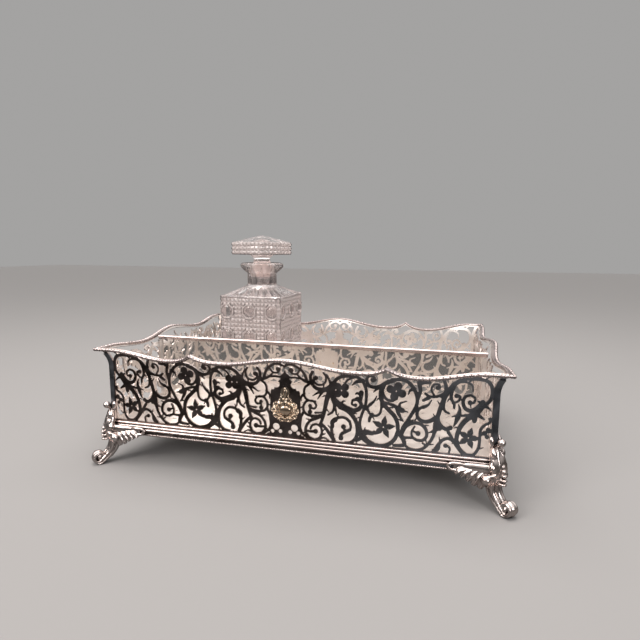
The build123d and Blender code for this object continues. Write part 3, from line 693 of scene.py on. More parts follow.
# Axes of a leaf's parts: back along the wall, out from the wall, up
ALONG_FRONT = np.array([[-1, 0, 0], [0, -1, 0], [0, 0, 1]])
ALONG_END = np.array([[0, 1, 0], [1, 0, 0], [0, 0, 1]])


def tube(path, widths, heights, lobes=0):
    """Closed tapering tube: widths lie sideways, heights across them; lobes reed it lengthwise."""
    path = np.asarray(path, float)
    tangents = np.gradient(path, axis=0)
    tangents /= np.linalg.norm(tangents, axis=1)[:, None]
    ups = np.cross(tangents, [0.0, 1.0, 0.0])
    ups /= np.linalg.norm(ups, axis=1)[:, None]
    sides = np.cross(ups, tangents)
    segments = 72 if lobes else 14
    angles = np.linspace(0, 2 * pi, segments, endpoint=False)
    reed = 1 - REED_DEPTH * (1 - np.abs(np.cos(lobes / 2 * (angles - pi / 2))) ** 0.65) if lobes else 1.0
    across = (reed * np.cos(angles))[None, :, None] * np.asarray(widths, float)[:, None, None]
    upright = (reed * np.sin(angles))[None, :, None] * np.asarray(heights, float)[:, None, None]
    ring = sides[:, None, :] * across + ups[:, None, :] * upright
    return (path[:, None, :] + ring).reshape(-1, 3), skin_faces(len(path), segments)


def tapered(count, start, middle, end):
    """Widths that swell from start to middle and shrink to end."""
    t = np.linspace(0, 1, count)
    return np.where(t < 0.5, start + (middle - start) * np.sin(pi * t), end + (middle - end) * np.sin(pi * t))


def swelling_tube(path, widths, heights):
    """Tube whose widths and heights are each given as (start, middle, end)."""
    return tube(path, tapered(len(path), *widths), tapered(len(path), *heights))


def ellipsoid(centre, radii, lean=0.0):
    """Closed ellipsoid, tipped forwards in the foot's own plane."""
    rings, segments = 10, 16
    tilt = np.linspace(0.12, pi - 0.12, rings)[:, None]
    turn = np.linspace(0, 2 * pi, segments, endpoint=False)[None, :]
    heights = np.repeat(np.cos(tilt), segments, axis=1)
    points = np.stack([np.sin(tilt) * np.cos(turn), np.sin(tilt) * np.sin(turn), heights], axis=2)
    points = points.reshape(-1, 3) * np.asarray(radii, float)
    axes = np.array([(cos(lean), 0, -sin(lean)), (0, 1, 0), (sin(lean), 0, cos(lean))])
    return np.asarray(centre, float) + points @ axes, flipped(skin_faces(rings, segments))


def leg_parts():
    """A reeded S-curve that sweeps out into the scroll toe, and the boss in the scroll."""
    leg = smooth_path([(1.0, 27), (0.2, 22), (0.2, 17.4), (1.4, 13), (4.0, 8.8), (7.6, 5.2)], 6)
    share = np.linspace(0, 1, 36)
    turns = np.radians(-105 + 385 * share)
    shrink = TOE_TURN - 2.5 * share**1.5
    scroll = TOE_CENTRE + shrink[:, None] * np.column_stack([np.cos(turns), np.sin(turns)])
    spine = np.vstack([leg[:-1], scroll])
    run = np.linspace(0, 1, len(spine))
    half_width = np.interp(run, [0, 0.2, 0.45, 1], [6.8, 6.6, 5.2, 3.9])
    half_depth = np.interp(run, [0, 0.25, 0.42, 0.52, 1], [4.6, 4.8, 4.2, 2.0, 1.2])
    path = np.column_stack([spine[:, 0], np.zeros(len(spine)), spine[:, 1]])
    boss = ellipsoid((TOE_CENTRE[0], 0, TOE_CENTRE[1]), (2.9, 4.6, 2.9))
    return [tube(path, half_width, half_depth, LEG_REEDS), boss]


def block_parts():
    """The block that climbs the corner, with a column of beads down its front."""
    keys = [(0.6, 0, 20), (2.2, 0, 24), (3.0, 0, 29), (2.4, 0, 34), (0.8, 0, 39), (-0.2, 0, 44.5)]
    path = smooth_path(keys, 6)
    parts = [swelling_tube(path, (5.2, 7.0, 3.6), (4.0, 4.8, 2.4))]
    for k in range(BEADS):
        rise = k / (BEADS - 1)
        out = 6.9 + 1.9 * sin(pi * (0.2 + 0.7 * rise)) - 1.2 * rise
        height = 20.6 + BEAD_PITCH * k
        parts.append(ellipsoid((out, 0, height), (2.0, 2.3 - 0.4 * rise, 1.35)))
        parts.append(ellipsoid((out - 1.8, 0, height), (2.0, 3.0 - 0.5 * rise, 1.5)))
    return parts


def side_parts(side):
    """What stands on one side of the block; side is -1 or 1."""
    # Ribbon from the top lobe down the block and round the knee ball
    keys = (
        (2.4, 1.4, 44), (4.6, 2.8, 38), (6.2, 3.4, 32), (5.4, 5.0, 27.4),
        (3.0, 7.6, 26.0), (-0.2, 8.8, 24.4), (-1.4, 8.4, 21.2),
    )
    ribbon = smooth_path([(out, side * aside, height) for out, aside, height in keys], 6)
    parts = [swelling_tube(ribbon, (0.8, 1.3, 0.8), (0.8, 1.2, 0.8))]
    # Two oval bosses, each in a raised rim, on the face of the block
    for out, aside, height, length in ((2.4, 4.0, 40.6, 3.5), (3.2, 5.9, 31.6, 2.9)):
        rim = (out - 0.4, side * (aside - 0.4), height)
        boss = (out + 0.3, side * (aside + 0.3), height)
        parts.append(ellipsoid(rim, (1.7, 2.4, length + 1.1), radians(-12)))
        parts.append(ellipsoid(boss, (1.6, 1.8, length - 0.6), radians(-12)))
    # Ball beside the knee, and the lobe that stands up beside the middle one on top
    parts.append(ellipsoid((0.6, side * 8.8, 22.8), 3.5))
    parts.append(ellipsoid((-0.6, side * 3.8, 48.6), (1.7, 1.7, 3.6), -0.15))
    return parts


def stalk_parts():
    """The middle lobe on top: a stalk that leans out and ends in a ball."""
    path = smooth_path([(-0.4, 0, 44), (1.4, 0, 46.2), (3.8, 0, 48.2)], 6)
    width = np.linspace(1.7, 2.2, len(path))
    return [tube(path, width, width), ellipsoid((4.4, 0, 48.8), 2.8)]


def wing_parts():
    """Acanthus leaf along one moulding."""
    out = WING_OUT
    # Smooth upper body that rolls over into a curled tip
    keys = [(-3, 0, 28), (5, 0.3, 29.2), (13, 0.2, 29.4), (21, -0.2, 29.0), (27, -0.4, 28.2)]
    body = smooth_path(np.array(keys) + [0, out, 0])
    parts = [tube(body, np.linspace(2.0, 1.3, len(body)), tapered(len(body), 4.6, 3.4, 2.2))]
    upper_lip = [(18, 0.4, 31), (24, 0.3, 31.6), (29, 0, 31), (31.4, -0.2, 29)]
    lower_lip = [(20, 0.5, 29), (25, 0.5, 26.8), (29, 0.2, 27), (31.2, -0.2, 29)]
    for keys in (upper_lip, lower_lip):
        lip = smooth_path(np.array(keys) + [0, out, 0], 6)
        parts.append(swelling_tube(lip, (0.6, 1.3, 1.0), (0.5, 1.2, 1.1)))
    # Overlapping lobes fan down and back from the corner, each with a raised midrib
    for root, tip, weight in WING_LOBES:
        root = np.array([root[0], out + 0.2, root[1]])
        tip = np.array([tip[0], out + 0.9, tip[1]])
        lobe = smooth_path([root, root * 0.5 + tip * 0.5 + [0.4, 0.9, 0.8], tip])
        parts.append(swelling_tube(lobe, (1.2, 1.4, 0.9), (weight * 0.8, weight, weight * 0.62)))
        parts.append(swelling_tube(lobe + [0, 1.2, 0], (0.6, 0.9, 0.6), (0.6, 0.75, 0.6)))
    return parts


def foot(name, mirror_x, mirror_y, material):
    """One cast foot at a corner, fused into a single skin."""
    corner = np.array([HALF_LENGTH, -HALF_DEPTH, 0.0])
    parts = leg_parts() + block_parts() + side_parts(-1) + side_parts(1) + stalk_parts()
    placed = [(part, DIAGONAL) for part in parts]
    for part in wing_parts():
        placed += [(part, ALONG_FRONT), (part, ALONG_END)]
    vertices = []
    faces = []
    for (points, polygons), axes in placed:
        start = len(vertices)
        vertices += (corner + points @ axes).tolist()
        if np.linalg.det(axes) < 0:
            polygons = flipped(polygons)
        faces += [tuple(start + k for k in polygon) for polygon in polygons]
    vertices, faces = mirrored(vertices, faces, mirror_x, mirror_y)
    obj = make_object(name, vertices, faces, [material])
    remesh = obj.modifiers.new("fuse", "REMESH")
    remesh.mode = "VOXEL"
    remesh.voxel_size = 0.32 * MM
    relax = obj.modifiers.new("relax", "SMOOTH")
    relax.factor = 0.5
    relax.iterations = 1
    bpy.context.view_layer.update()
    cast = bpy.data.meshes.new_from_object(obj.evaluated_get(bpy.context.evaluated_depsgraph_get()))
    obj.modifiers.clear()
    obj.data = cast
    cast.polygons.foreach_set("use_smooth", np.ones(len(cast.polygons), bool))
    # Nothing of the toe goes below the ground
    points = np.zeros(len(cast.vertices) * 3)
    cast.vertices.foreach_get("co", points)
    points[2::3] = np.maximum(points[2::3], 0.0)
    cast.vertices.foreach_set("co", points)
    return obj


# ---- Badge ----
BADGE_HALF = (11.2, 9.3)
BADGE_MIDDLE = 56.7  # height of the oval's middle
CREST_TIP = 74.4
BADGE_BACKING = 0.3  # thinnest part of the relief
BOSS_REACH = 0.42  # of the domed boss, as a share of the oval
RING_REACH = 0.5  # of the ring of beads round it
# Leaves that stand in the crest, as (root, root's height, lean, length)
SPRIG = ((0, 9.5, 0.0, 7.2), (-2.6, 8.8, 0.5, 4.6), (2.6, 8.8, -0.5, 4.6))
LEAF_BELLY = 1.5  # half a leaf's width, and its relief


def badge_outline(turn):
    """An oval of ten leaf tips, drawn up into a crest at the top."""
    upward = np.abs((turn - pi / 2 + pi) % (2 * pi) - pi)
    tips = 0.9 + 0.1 * np.abs(np.cos(5 * turn)) ** 0.7
    reach = (CREST_TIP - BADGE_MIDDLE) / BADGE_HALF[1]
    crest = np.maximum(reach * np.exp(-((upward / 0.30) ** 4)), 1.18 * np.exp(-((upward / 0.62) ** 6)))
    return np.maximum(tips, crest)


def sprig_relief(x, z):
    relief = np.zeros_like(x)
    for root_x, root_z, lean, length in SPRIG:
        along = (x - root_x) * -sin(lean) + (z - root_z) * cos(lean)
        aside = (x - root_x) * cos(lean) + (z - root_z) * sin(lean)
        belly = LEAF_BELLY * np.sqrt(np.clip(1 - ((along - length / 2) / (length / 2)) ** 2, 0, 1)) + 1e-6
        relief = np.maximum(relief, LEAF_BELLY * np.sqrt(np.clip(1 - (aside / belly) ** 2, 0, 1)))
    return relief


def badge(name, quarter_turns, material):
    """Domed oval boss in a ring of curled leaves, under a sprig: a generic ornament in low relief."""
    rings, columns = 60, 260
    turn = np.linspace(0, 2 * pi, columns, endpoint=False)[None, :]
    share = np.linspace(0.02, 1, rings)[:, None]
    x = share * badge_outline(turn) * np.cos(turn) * BADGE_HALF[0]
    z = share * badge_outline(turn) * np.sin(turn) * BADGE_HALF[1]
    radius = np.hypot(x / BADGE_HALF[0], z / BADGE_HALF[1])
    boss = np.sqrt(np.clip(1 - (radius / BOSS_REACH) ** 2, 0, 1)) * 1.5
    bead_ring = np.exp(-(((radius - RING_REACH) / 0.05) ** 2)) * (0.5 + 0.5 * np.cos(22 * turn)) * 1.1
    leaf = np.clip((radius - RING_REACH) / 0.12, 0, 1)
    veins = 0.9 + 0.6 * np.cos(10 * turn + pi) + 0.3 * np.cos(30 * turn + 10 * radius)
    scrolls = 0.35 * np.cos(16 * radius + 3 * np.abs(np.cos(5 * turn)))
    field = leaf * np.clip(veins + scrolls, 0.1, 1.9) * np.clip((1.04 - radius) / 0.1, 0, 1)
    edge = np.clip((1 - share) / 0.06, 0, 1)
    raised = np.maximum(np.maximum(boss, bead_ring), np.maximum(field, sprig_relief(x, z)))
    relief = BADGE_BACKING + edge * raised
    front = np.stack([x, -(HALF_DEPTH + relief), BADGE_MIDDLE + z], axis=2).reshape(-1, 3)
    back = front[-columns:] * [1, 0, 1] + [0, -HALF_DEPTH, 0]
    vertices = turned(np.vstack([front, back]), quarter_turns)
    return make_object(name, vertices, flipped(skin_faces(rings + 1, columns)), [material], sharp=60)


# ---- Corner strips ----
STRIP_SHEET = 0.8
STRIP_TOP = 92.0
STRIP_WIDTH = 2.8  # of each leg of the angle, at its foot
STRIP_GROWTH = 1.6  # what each leg gains by its top


def corner_strip(name, mirror_x, mirror_y, material):
    """Narrow angle over an upright seam; it widens as it rises and rolls outwards with the walls."""
    heights = np.concatenate([[FLOOR_TOP, FLARE_START], np.linspace(FLARE_START + 1, STRIP_TOP, 10)])
    far = STRIP_SHEET
    vertices = []
    for height in heights:
        near = far - (STRIP_WIDTH + STRIP_GROWTH * (height - FLOOR_TOP) / (STRIP_TOP - FLOOR_TOP))
        reach = float(flare(height))
        ring = [(far, far), (near, far), (near, 0), (0, 0), (0, near), (far, near)]
        vertices += [(HALF_LENGTH + reach + a, -(HALF_DEPTH + reach + b), height) for a, b in ring]
    faces = flipped(skin_faces(len(heights), len(ring)))
    vertices, faces = mirrored(vertices, faces, mirror_x, mirror_y)
    return make_object(name, vertices, faces, [material], sharp=30)


# ---- Cut glass ----
BOTTLE_TURN = radians(-3.5)
SLAB_TURN = radians(-24)
BOTTLE_HALF = 32.0
HOBNAIL_X = 3.9  # pitch of the cut points on the bottle; an octagon takes the place of four by four
HOBNAIL_Z = 4.05
OCTAGON_COLUMN = 6 * HOBNAIL_X  # pitch of the octagons
OCTAGON_ROW = 6 * HOBNAIL_Z
FIRST_HOBNAIL = 2.9  # below the shoulder's edge
FIRST_OCTAGON = 13.9
OCTAGON_HALF = 7.2
LENS_RADIUS = 5.7
BOTTLE_LOW, BOTTLE_HIGH = span("bottle")
BOTTLE_CENTRE = (BOTTLE_LOW + BOTTLE_HIGH) / 2
SHOULDER_Z = 131.6
SHOULDER_FLUTES = 24
NECK_Z = 142.0
NECK_RADIUS = 14.5
NECK_FACETS = 12
LIP_Z = 155.0
LIP_TOP = BOTTLE_HIGH[2]
LIP_RADIUS = 21.5
# Profiles as (radius, height)
LIP = (
    (NECK_RADIUS * 1.04, LIP_Z - 1.4),
    (LIP_RADIUS - 4.2, LIP_Z + 0.4),
    (LIP_RADIUS - 0.9, LIP_Z + 3.4),
    (LIP_RADIUS, LIP_Z + 5.0),
    (LIP_RADIUS, LIP_TOP - 2.0),
    (LIP_RADIUS - 1.2, LIP_TOP - 0.5),
    (LIP_RADIUS - 3.0, LIP_TOP),
)
WAIST = ((8.6, 164.6), (8.4, 166.0), (8.5, 167.3), (9.2, 168.8), (10.8, 170.2), (13.0, 171.3))
WAIST_FACETS = 8
MOUTH_RADIUS = 9.2
THROAT_RADIUS = 8.0
THROAT_Z = 146.0
THROAT_BOTTOM = NECK_Z - 3
CAVITY_BOTTOM = 42.0
CAVITY_TOP = 127.0
CAVITY_HALF = 27.0
PLUG_BOTTOM = THROAT_Z + 2
PLUG_GAP = 0.08  # between the stopper's plug and its seat
SLAB_BOTTOM = 171.5
SLAB_TOP = 183.3
SLAB_HALF = 21.5
SLAB_ROWS, SLAB_COLUMNS = 3, 8  # of points round the slab's edge
SLAB_CUT = 2.6  # twice the depth between the points
APEX_Z = span("stopper")[1][2]
CLEAR_PART, GROUND_PART, CUT_PART, FLUTED_PART = range(4)  # places in the list of glass materials


def square_ring(columns, half, cut):
    """Points of a square with cut corners: places, outward normals, distances across a side, on a side."""
    flat = half - cut
    corners = [
        (half, -flat), (half, flat), (flat, half), (-flat, half),
        (-half, flat), (-half, -flat), (-flat, -half), (flat, -half),
    ]
    path = np.array(corners + corners[:1], float)
    steps = path[1:] - path[:-1]
    lengths = np.hypot(*steps.T)
    marks = np.concatenate([[0], np.cumsum(lengths)])
    at = (np.arange(columns) + 0.5) / columns * marks[-1]
    side = np.clip(np.searchsorted(marks, at, side="right") - 1, 0, len(corners) - 1)
    t = (at - marks[side]) / lengths[side]
    step = steps[side] / lengths[side][:, None]
    normals = np.column_stack([step[:, 1], -step[:, 0]])
    return path[side] + t[:, None] * steps[side], normals, (t - 0.5) * lengths[side], side % 2 == 0


def directions(outline):
    """Angle of each point of a ring, and the unit vector towards it."""
    angle = np.arctan2(outline[:, 1], outline[:, 0])
    return angle, np.column_stack([np.cos(angle), np.sin(angle)])


def point_cut(across, height, pitch_x, pitch_z, depth):
    """How deep the cuts between little pyramids go; a point stands at (0, 0)."""
    x = np.abs((across / pitch_x + 0.5) % 1.0 - 0.5)
    z = np.abs((height / pitch_z + 0.5) % 1.0 - 0.5)
    return depth * 2 * np.maximum(x, z)


def bottle_cut(across, below):
    """Depth of the cutting on a face of the bottle, at a distance across it and below the shoulder."""
    depth = point_cut(across + HOBNAIL_X / 2, below - FIRST_HOBNAIL, HOBNAIL_X, HOBNAIL_Z, 1.25)
    x = np.abs(across) - OCTAGON_COLUMN * np.round(np.minimum(np.abs(across) / OCTAGON_COLUMN, 1))
    z = (below - FIRST_OCTAGON) - OCTAGON_ROW * np.clip(np.round((below - FIRST_OCTAGON) / OCTAGON_ROW), 0, 3)
    octagon = np.maximum(np.maximum(np.abs(x), np.abs(z)), (np.abs(x) + np.abs(z)) / sqrt(2))
    radius = np.hypot(x, z)
    frame = np.clip((OCTAGON_HALF - 1.3 - octagon) / 0.5, 0, 1) * 1.1
    lens = 1.5 - 1.3 * np.sqrt(np.clip(1 - (radius / LENS_RADIUS) ** 2, 0, 1))
    depth = np.where(octagon < OCTAGON_HALF, frame, depth)
    depth = np.where(radius < LENS_RADIUS, lens, depth)
    return depth * np.clip((below - 0.3) / 0.9, 0, 1), radius < LENS_RADIUS


def turn_about(points, centre, angle):
    c, s = cos(angle), sin(angle)
    x, y, z = points.T
    return np.column_stack([centre[0] + c * x - s * y, centre[1] + s * x + c * y, z])


def ring_at(points, height):
    return np.column_stack([points, np.full(len(points), float(height))])


def faceted_rings(profile, angle, unit, facets, sharpness):
    """Rings of a turned shape cut into upright facets; a sharpness of nought leaves it round."""
    sector = (angle + pi / facets) % (2 * pi / facets) - pi / facets
    reach = 1 - sharpness + sharpness * cos(pi / facets) / np.cos(sector)
    return [ring_at(unit * (radius * reach)[:, None], height) for radius, height in profile]


def cut_rings(outline, normals, across, on_face):
    """Rings up the cut faces, and for each the points that lie in a lens."""
    rings = []
    lenses = []
    for height in np.arange(FLOOR_TOP + 1.2, SHOULDER_Z - 0.3, 0.48):
        below = SHOULDER_Z - height
        scallop = 0.5 - 0.5 * cos(2 * pi * (below - FIRST_OCTAGON) / OCTAGON_ROW)
        nick = 0.5 - 0.5 * cos(2 * pi * (below - FIRST_HOBNAIL) / HOBNAIL_Z)
        cut, in_lens = bottle_cut(across, below)
        depth = np.where(on_face, cut, 0.1 + scallop + 0.5 * nick)
        rings.append(ring_at(outline - normals * depth[:, None], height))
        lenses.append(in_lens & on_face)
    return rings, lenses


def shoulder_rings(outline, unit):
    """A bevelled edge, then flutes that run up to the neck."""
    bevel = SHOULDER_Z + 1.0
    wave = np.abs(np.cos(SHOULDER_FLUTES / 2 * np.linspace(0, 2 * pi, len(outline), endpoint=False)))
    rings = [ring_at(outline, SHOULDER_Z), ring_at(outline * 0.965, bevel)]
    for t in np.linspace(0, 1, 22):
        lift = bevel + (NECK_Z - bevel) * (0.8 * t + 0.2 * t**2)
        groove = 2.4 * (1 - wave) * sin(pi * min(t * 1.1 + 0.08, 1.0))
        points = outline * 0.94 * (1 - t) + unit * NECK_RADIUS * t
        rings.append(np.column_stack([points, lift - groove]))
    return rings


def neck_rings(angle, unit):
    """Upright flutes that fade out under the lip."""
    rings = []
    for t in np.linspace(0.04, 1, 22):
        hollow = (1 - 0.6 * t**3) * 0.12 * (1 - np.abs(np.sin(NECK_FACETS / 2 * angle)))
        rings.append(ring_at(unit * (NECK_RADIUS * (1 - hollow))[:, None], NECK_Z + (LIP_Z - 2 - NECK_Z) * t))
    return rings


def inside_rings(unit):
    """Mouth, ground seat, throat and ink space."""
    seat_top = LIP_TOP - 0.9
    rings = [ring_at(unit * (MOUTH_RADIUS + 0.8), LIP_TOP - 0.1), ring_at(unit * MOUTH_RADIUS, seat_top)]
    for t in np.linspace(0.1, 1, 5):
        radius = MOUTH_RADIUS + (THROAT_RADIUS - MOUTH_RADIUS) * t
        rings.append(ring_at(unit * radius, seat_top + (THROAT_Z - seat_top) * t))
    rings.append(ring_at(unit * THROAT_RADIUS, THROAT_BOTTOM))
    inside, _, _, _ = square_ring(len(unit), CAVITY_HALF, 5.0)
    for t in np.linspace(0.15, 1, 8):
        points = unit * THROAT_RADIUS * (1 - t) + inside * t
        rings.append(ring_at(points, THROAT_BOTTOM + (CAVITY_TOP - THROAT_BOTTOM) * t**1.4))
    for share, rise in ((1, 4), (0.95, 1), (0.85, 0), (0.05, 0)):
        rings.append(ring_at(inside * share, CAVITY_BOTTOM + rise))
    return rings


def bottle(name, materials):
    columns = 560
    outline, normals, across, on_face = square_ring(columns, BOTTLE_HALF, 3.0)
    angle, unit = directions(outline)
    base = ((0.05, 0.8), (0.8, 0.8), (0.86, 0), (0.94, 0))
    rings = [ring_at(outline * share, FLOOR_TOP + rise) for share, rise in base]
    cut_start = len(rings)
    cut, lenses = cut_rings(outline, normals, across, on_face)
    rings += cut
    cut_end = len(rings) - 1
    rings += shoulder_rings(outline, unit) + neck_rings(angle, unit)
    neck_end = len(rings) - 1
    rings += faceted_rings(LIP, angle, unit, NECK_FACETS, 0.55)
    seat_start = len(rings) + 1
    seat_end = seat_start + 4
    rings += inside_rings(unit)
    faces = skin_faces(len(rings), columns)
    kinds = []
    for corners in faces:
        row, column = divmod(min(corners), columns)
        if seat_start <= row < seat_end:
            kinds.append(GROUND_PART)
        elif cut_start <= row < cut_end and not lenses[row - cut_start][column]:
            kinds.append(CUT_PART)
        else:
            kinds.append(FLUTED_PART if cut_end <= row < neck_end else CLEAR_PART)
    vertices = turn_about(np.vstack(rings), BOTTLE_CENTRE, BOTTLE_TURN)
    return make_object(name, vertices, faces, materials, kinds, sharp=22)


def stopper(name, materials):
    columns = 400
    outline, normals, across, on_face = square_ring(columns, SLAB_HALF, 0.8)
    angle, unit = directions(outline)
    rings = [ring_at(unit * 0.4, PLUG_BOTTOM)]
    for height in np.linspace(PLUG_BOTTOM, LIP_TOP, 6):
        seat = THROAT_RADIUS + (MOUTH_RADIUS - THROAT_RADIUS) * (height - THROAT_Z) / (LIP_TOP - THROAT_Z)
        rings.append(ring_at(unit * (seat - PLUG_GAP), height))
    plug_end = len(rings) - 1
    rings += faceted_rings(WAIST, angle, unit, WAIST_FACETS, 0.65)
    # Slab: plain underside, rows of points round the edge, low pyramid on top
    for t in (0.35, 0.7, 0.97):
        rings.append(ring_at(unit * 12.0 * (1 - t) + outline * t, SLAB_BOTTOM - 0.3 * (1 - t)))
    slab_start = len(rings)
    pitch_x = 2 * SLAB_HALF / SLAB_COLUMNS
    pitch_z = (SLAB_TOP - SLAB_BOTTOM) / SLAB_ROWS
    for height in np.linspace(SLAB_BOTTOM, SLAB_TOP, 12 * SLAB_ROWS + 1):
        x = np.abs((across / pitch_x) % 1.0 - 0.5)
        z = np.abs(((height - SLAB_BOTTOM) / pitch_z) % 1.0 - 0.5)
        depth = SLAB_CUT * np.where(on_face, np.maximum(x, z), z)
        rings.append(ring_at(outline - normals * depth[:, None], height))
    slab_end = len(rings) - 1
    for t in (0.08, 0.4, 0.75, 0.985):
        rings.append(ring_at(outline * (0.96 - 0.96 * t), SLAB_TOP + (APEX_Z - SLAB_TOP) * t))
    faces = skin_faces(len(rings), columns)
    kinds = []
    for corners in faces:
        row = min(corners) // columns
        if 2 <= row < plug_end:
            kinds.append(GROUND_PART)
        else:
            kinds.append(CUT_PART if slab_start <= row < slab_end else CLEAR_PART)
    vertices = turn_about(np.vstack(rings), BOTTLE_CENTRE, SLAB_TURN)
    return make_object(name, vertices, faces, materials, kinds, sharp=22)


# ---- Materials ----
# Near-black brown painted into the hollows of the silver as shade
HOLLOW_SHADE = (0.045, 0.03, 0.027, 1)


def set_inputs(tree, node, inputs):
    """Links each input to a node's output, or sets its value."""
    for key, value in inputs.items():
        if isinstance(value, bpy.types.NodeSocket):
            tree.links.new(value, node.inputs[key])
        else:
            node.inputs[key].default_value = value


def add_node(tree, kind, output, inputs, **settings):
    """Adds a shader node with its settings and inputs, and gives one of its outputs."""
    node = tree.nodes.new("ShaderNode" + kind)
    for key, value in settings.items():
        setattr(node, key, value)
    set_inputs(tree, node, inputs)
    return node.outputs[output]


def new_material(name):
    material = bpy.data.materials.new(name)
    material.use_nodes = True
    return material, material.node_tree, material.node_tree.nodes["Principled BSDF"]


def noise(tree, scale, detail=4.0, stretch=(1, 1, 1)):
    """Noise in object space; scale is in features per millimetre."""
    where = add_node(tree, "TexCoord", "Object", {})
    scales = [scale / MM * s for s in stretch]
    mapped = add_node(tree, "Mapping", "Vector", {"Vector": where, "Scale": scales})
    return add_node(tree, "TexNoise", "Fac", {"Vector": mapped, "Scale": 1.0, "Detail": detail})


def ramp(tree, source, stops):
    """Colour ramp over a value; stops are (position, colour)."""
    node = tree.nodes.new("ShaderNodeValToRGB")
    elements = node.color_ramp.elements
    while len(elements) < len(stops):
        elements.new(0.5)
    for element, (position, colour) in zip(elements, stops):
        element.position = position
        element.color = (*colour, 1)
    set_inputs(tree, node, {"Fac": source})
    return node.outputs["Color"]


def grey(value):
    return (value, value, value)


def openness_ramp(tree, reach, stops):
    """Colour ramp over how open the surface is, used to paint shade; hollows as narrow as the reach take its
    first colour.
    """
    return ramp(tree, add_node(tree, "AmbientOcclusion", "AO", {"Distance": reach * MM}, samples=4), stops)


def blend(tree, factor, a, b):
    return add_node(tree, "Mix", "Result", {"Factor": factor, "A": a, "B": b}, data_type="RGBA")


def bump(tree, strength, height):
    return add_node(tree, "Bump", "Normal", {"Strength": strength, "Distance": 0.1 * MM, "Height": height})


def two_looks(tree, ray, seen, by_ray):
    """Shader that is one thing to rays of the named kind and another to the rest."""
    is_ray = add_node(tree, "LightPath", ray, {})
    return add_node(tree, "MixShader", "Shader", {"Fac": is_ray, 1: seen, 2: by_ray})


def silver(name, bright, dull, rough, hollows=0.0, grain=0.15, metallic=1.0, right_end=None):
    """Worn silver: cloudy colour, uneven polish, fine scratches, and painted shade darkening the hollows.

    Its last argument is a colour it drifts to along the tray, towards the right end: a painted reflection of
    brighter surroundings.
    """
    material, tree, shader = new_material(name)
    colour = ramp(tree, noise(tree, 0.06), [(0.35, dull), (0.65, bright)])
    # Painted reflection: the colour lightens to a slate grey from the middle towards the right end of the
    # tray
    if right_end:
        where = add_node(tree, "TexCoord", "Object", {})
        along = add_node(tree, "SeparateXYZ", "X", {"Vector": where})
        middle_to_end = {"Value": along, "From Min": 20 * MM, "From Max": 130 * MM}
        drift = add_node(tree, "MapRange", "Result", middle_to_end)
        colour = blend(tree, drift, colour, (*right_end, 1))
    # Painted shade: ambient occlusion darkens the hollows towards a near-black brown
    if hollows:
        mask = openness_ramp(tree, 3.5, [(0.45, grey(hollows)), (0.95, grey(0.0))])
        colour = blend(tree, mask, colour, HOLLOW_SHADE)
    polish = ramp(tree, noise(tree, 0.12, 3), [(0.3, grey(rough * 0.7)), (0.7, grey(rough * 1.3))])
    scratches = bump(tree, grain, noise(tree, 1.2, 4, (0.25, 1, 1)))
    inputs = {"Metallic": metallic, "Base Color": colour, "Roughness": polish, "Normal": scratches}
    set_inputs(tree, shader, inputs)
    return material


def cut_glass(name, colour, roughness, milk, grooves=None, reach=1.6):
    """Lead glass with a faint warm cast; light passes through it without a hard shadow.

    grooves is painted shade: the colour it darkens to in the cuts, which are about reach millimetres wide.
    """
    material, tree, shader = new_material(name)
    base = (*colour, 1)
    # Painted shade: ambient occlusion darkens the cuts and flutes towards the groove colour
    if grooves:
        base = openness_ramp(tree, reach, [(0.55, grooves), (0.97, colour)])
    wear = ramp(tree, noise(tree, 0.4, 5), [(0.3, grey(roughness * 0.5)), (0.7, grey(roughness * 1.5))])
    waves = bump(tree, 0.03, noise(tree, 0.5, 3))
    set_inputs(tree, shader, {"Base Color": base, "Roughness": wear, "Normal": waves})
    set_inputs(tree, shader, {"Transmission Weight": 1.0 - milk, "IOR": 1.54})
    clear = add_node(tree, "BsdfTransparent", "BSDF", {"Color": (0.9, 0.87, 0.86, 1)})
    surface = two_looks(tree, "Is Shadow Ray", shader.outputs["BSDF"], clear)
    set_inputs(tree, tree.nodes["Material Output"], {"Surface": surface})
    return material


# Painted shade and reflection: the outer walls' dark brown stands in for the dark room the silver reflects,
# and the slate grey towards the right stands in for brighter surroundings reflected there
OUTSIDE = silver(
    "silver_outside", (0.2, 0.165, 0.155), (0.1, 0.075, 0.065), 0.3, grain=0.08, right_end=(0.38, 0.39, 0.42)
)
STRIP = silver("silver_strip", (0.3, 0.31, 0.34), (0.2, 0.21, 0.23), 0.35, grain=0.05)
INSIDE = silver("silver_inside", (0.82, 0.76, 0.72), (0.74, 0.67, 0.62), 0.34, grain=0.0, metallic=0.6)
EDGES = silver("silver_edges", (0.7, 0.6, 0.56), (0.5, 0.42, 0.38), 0.3, grain=0.0, metallic=0.8)
TRIM = silver("silver_trim", (0.9, 0.77, 0.73), (0.78, 0.64, 0.6), 0.22, 0.95, 0.03, 0.95)
RIM = silver("silver_rim", (0.68, 0.58, 0.56), (0.55, 0.46, 0.44), 0.28, 1.0, 0.03, 0.95)
CAST = silver("silver_cast", (0.94, 0.83, 0.79), (0.8, 0.67, 0.62), 0.17, 1.0, 0.03, 0.97)
PLAIN = silver("silver_plain", (0.74, 0.68, 0.64), (0.66, 0.6, 0.56), 0.38, grain=0.0, metallic=0.6)
MIRROR = silver("silver_mirror", (0.96, 0.93, 0.9), (0.92, 0.88, 0.84), 0.03, grain=0.0, metallic=0.9)
GILT = silver("pale_gilt", (1.0, 0.82, 0.64), (0.92, 0.69, 0.5), 0.22, 0.9, 0.03)
GLASS = cut_glass("clear_cut_glass", (0.86, 0.82, 0.81), 0.02, 0.08)
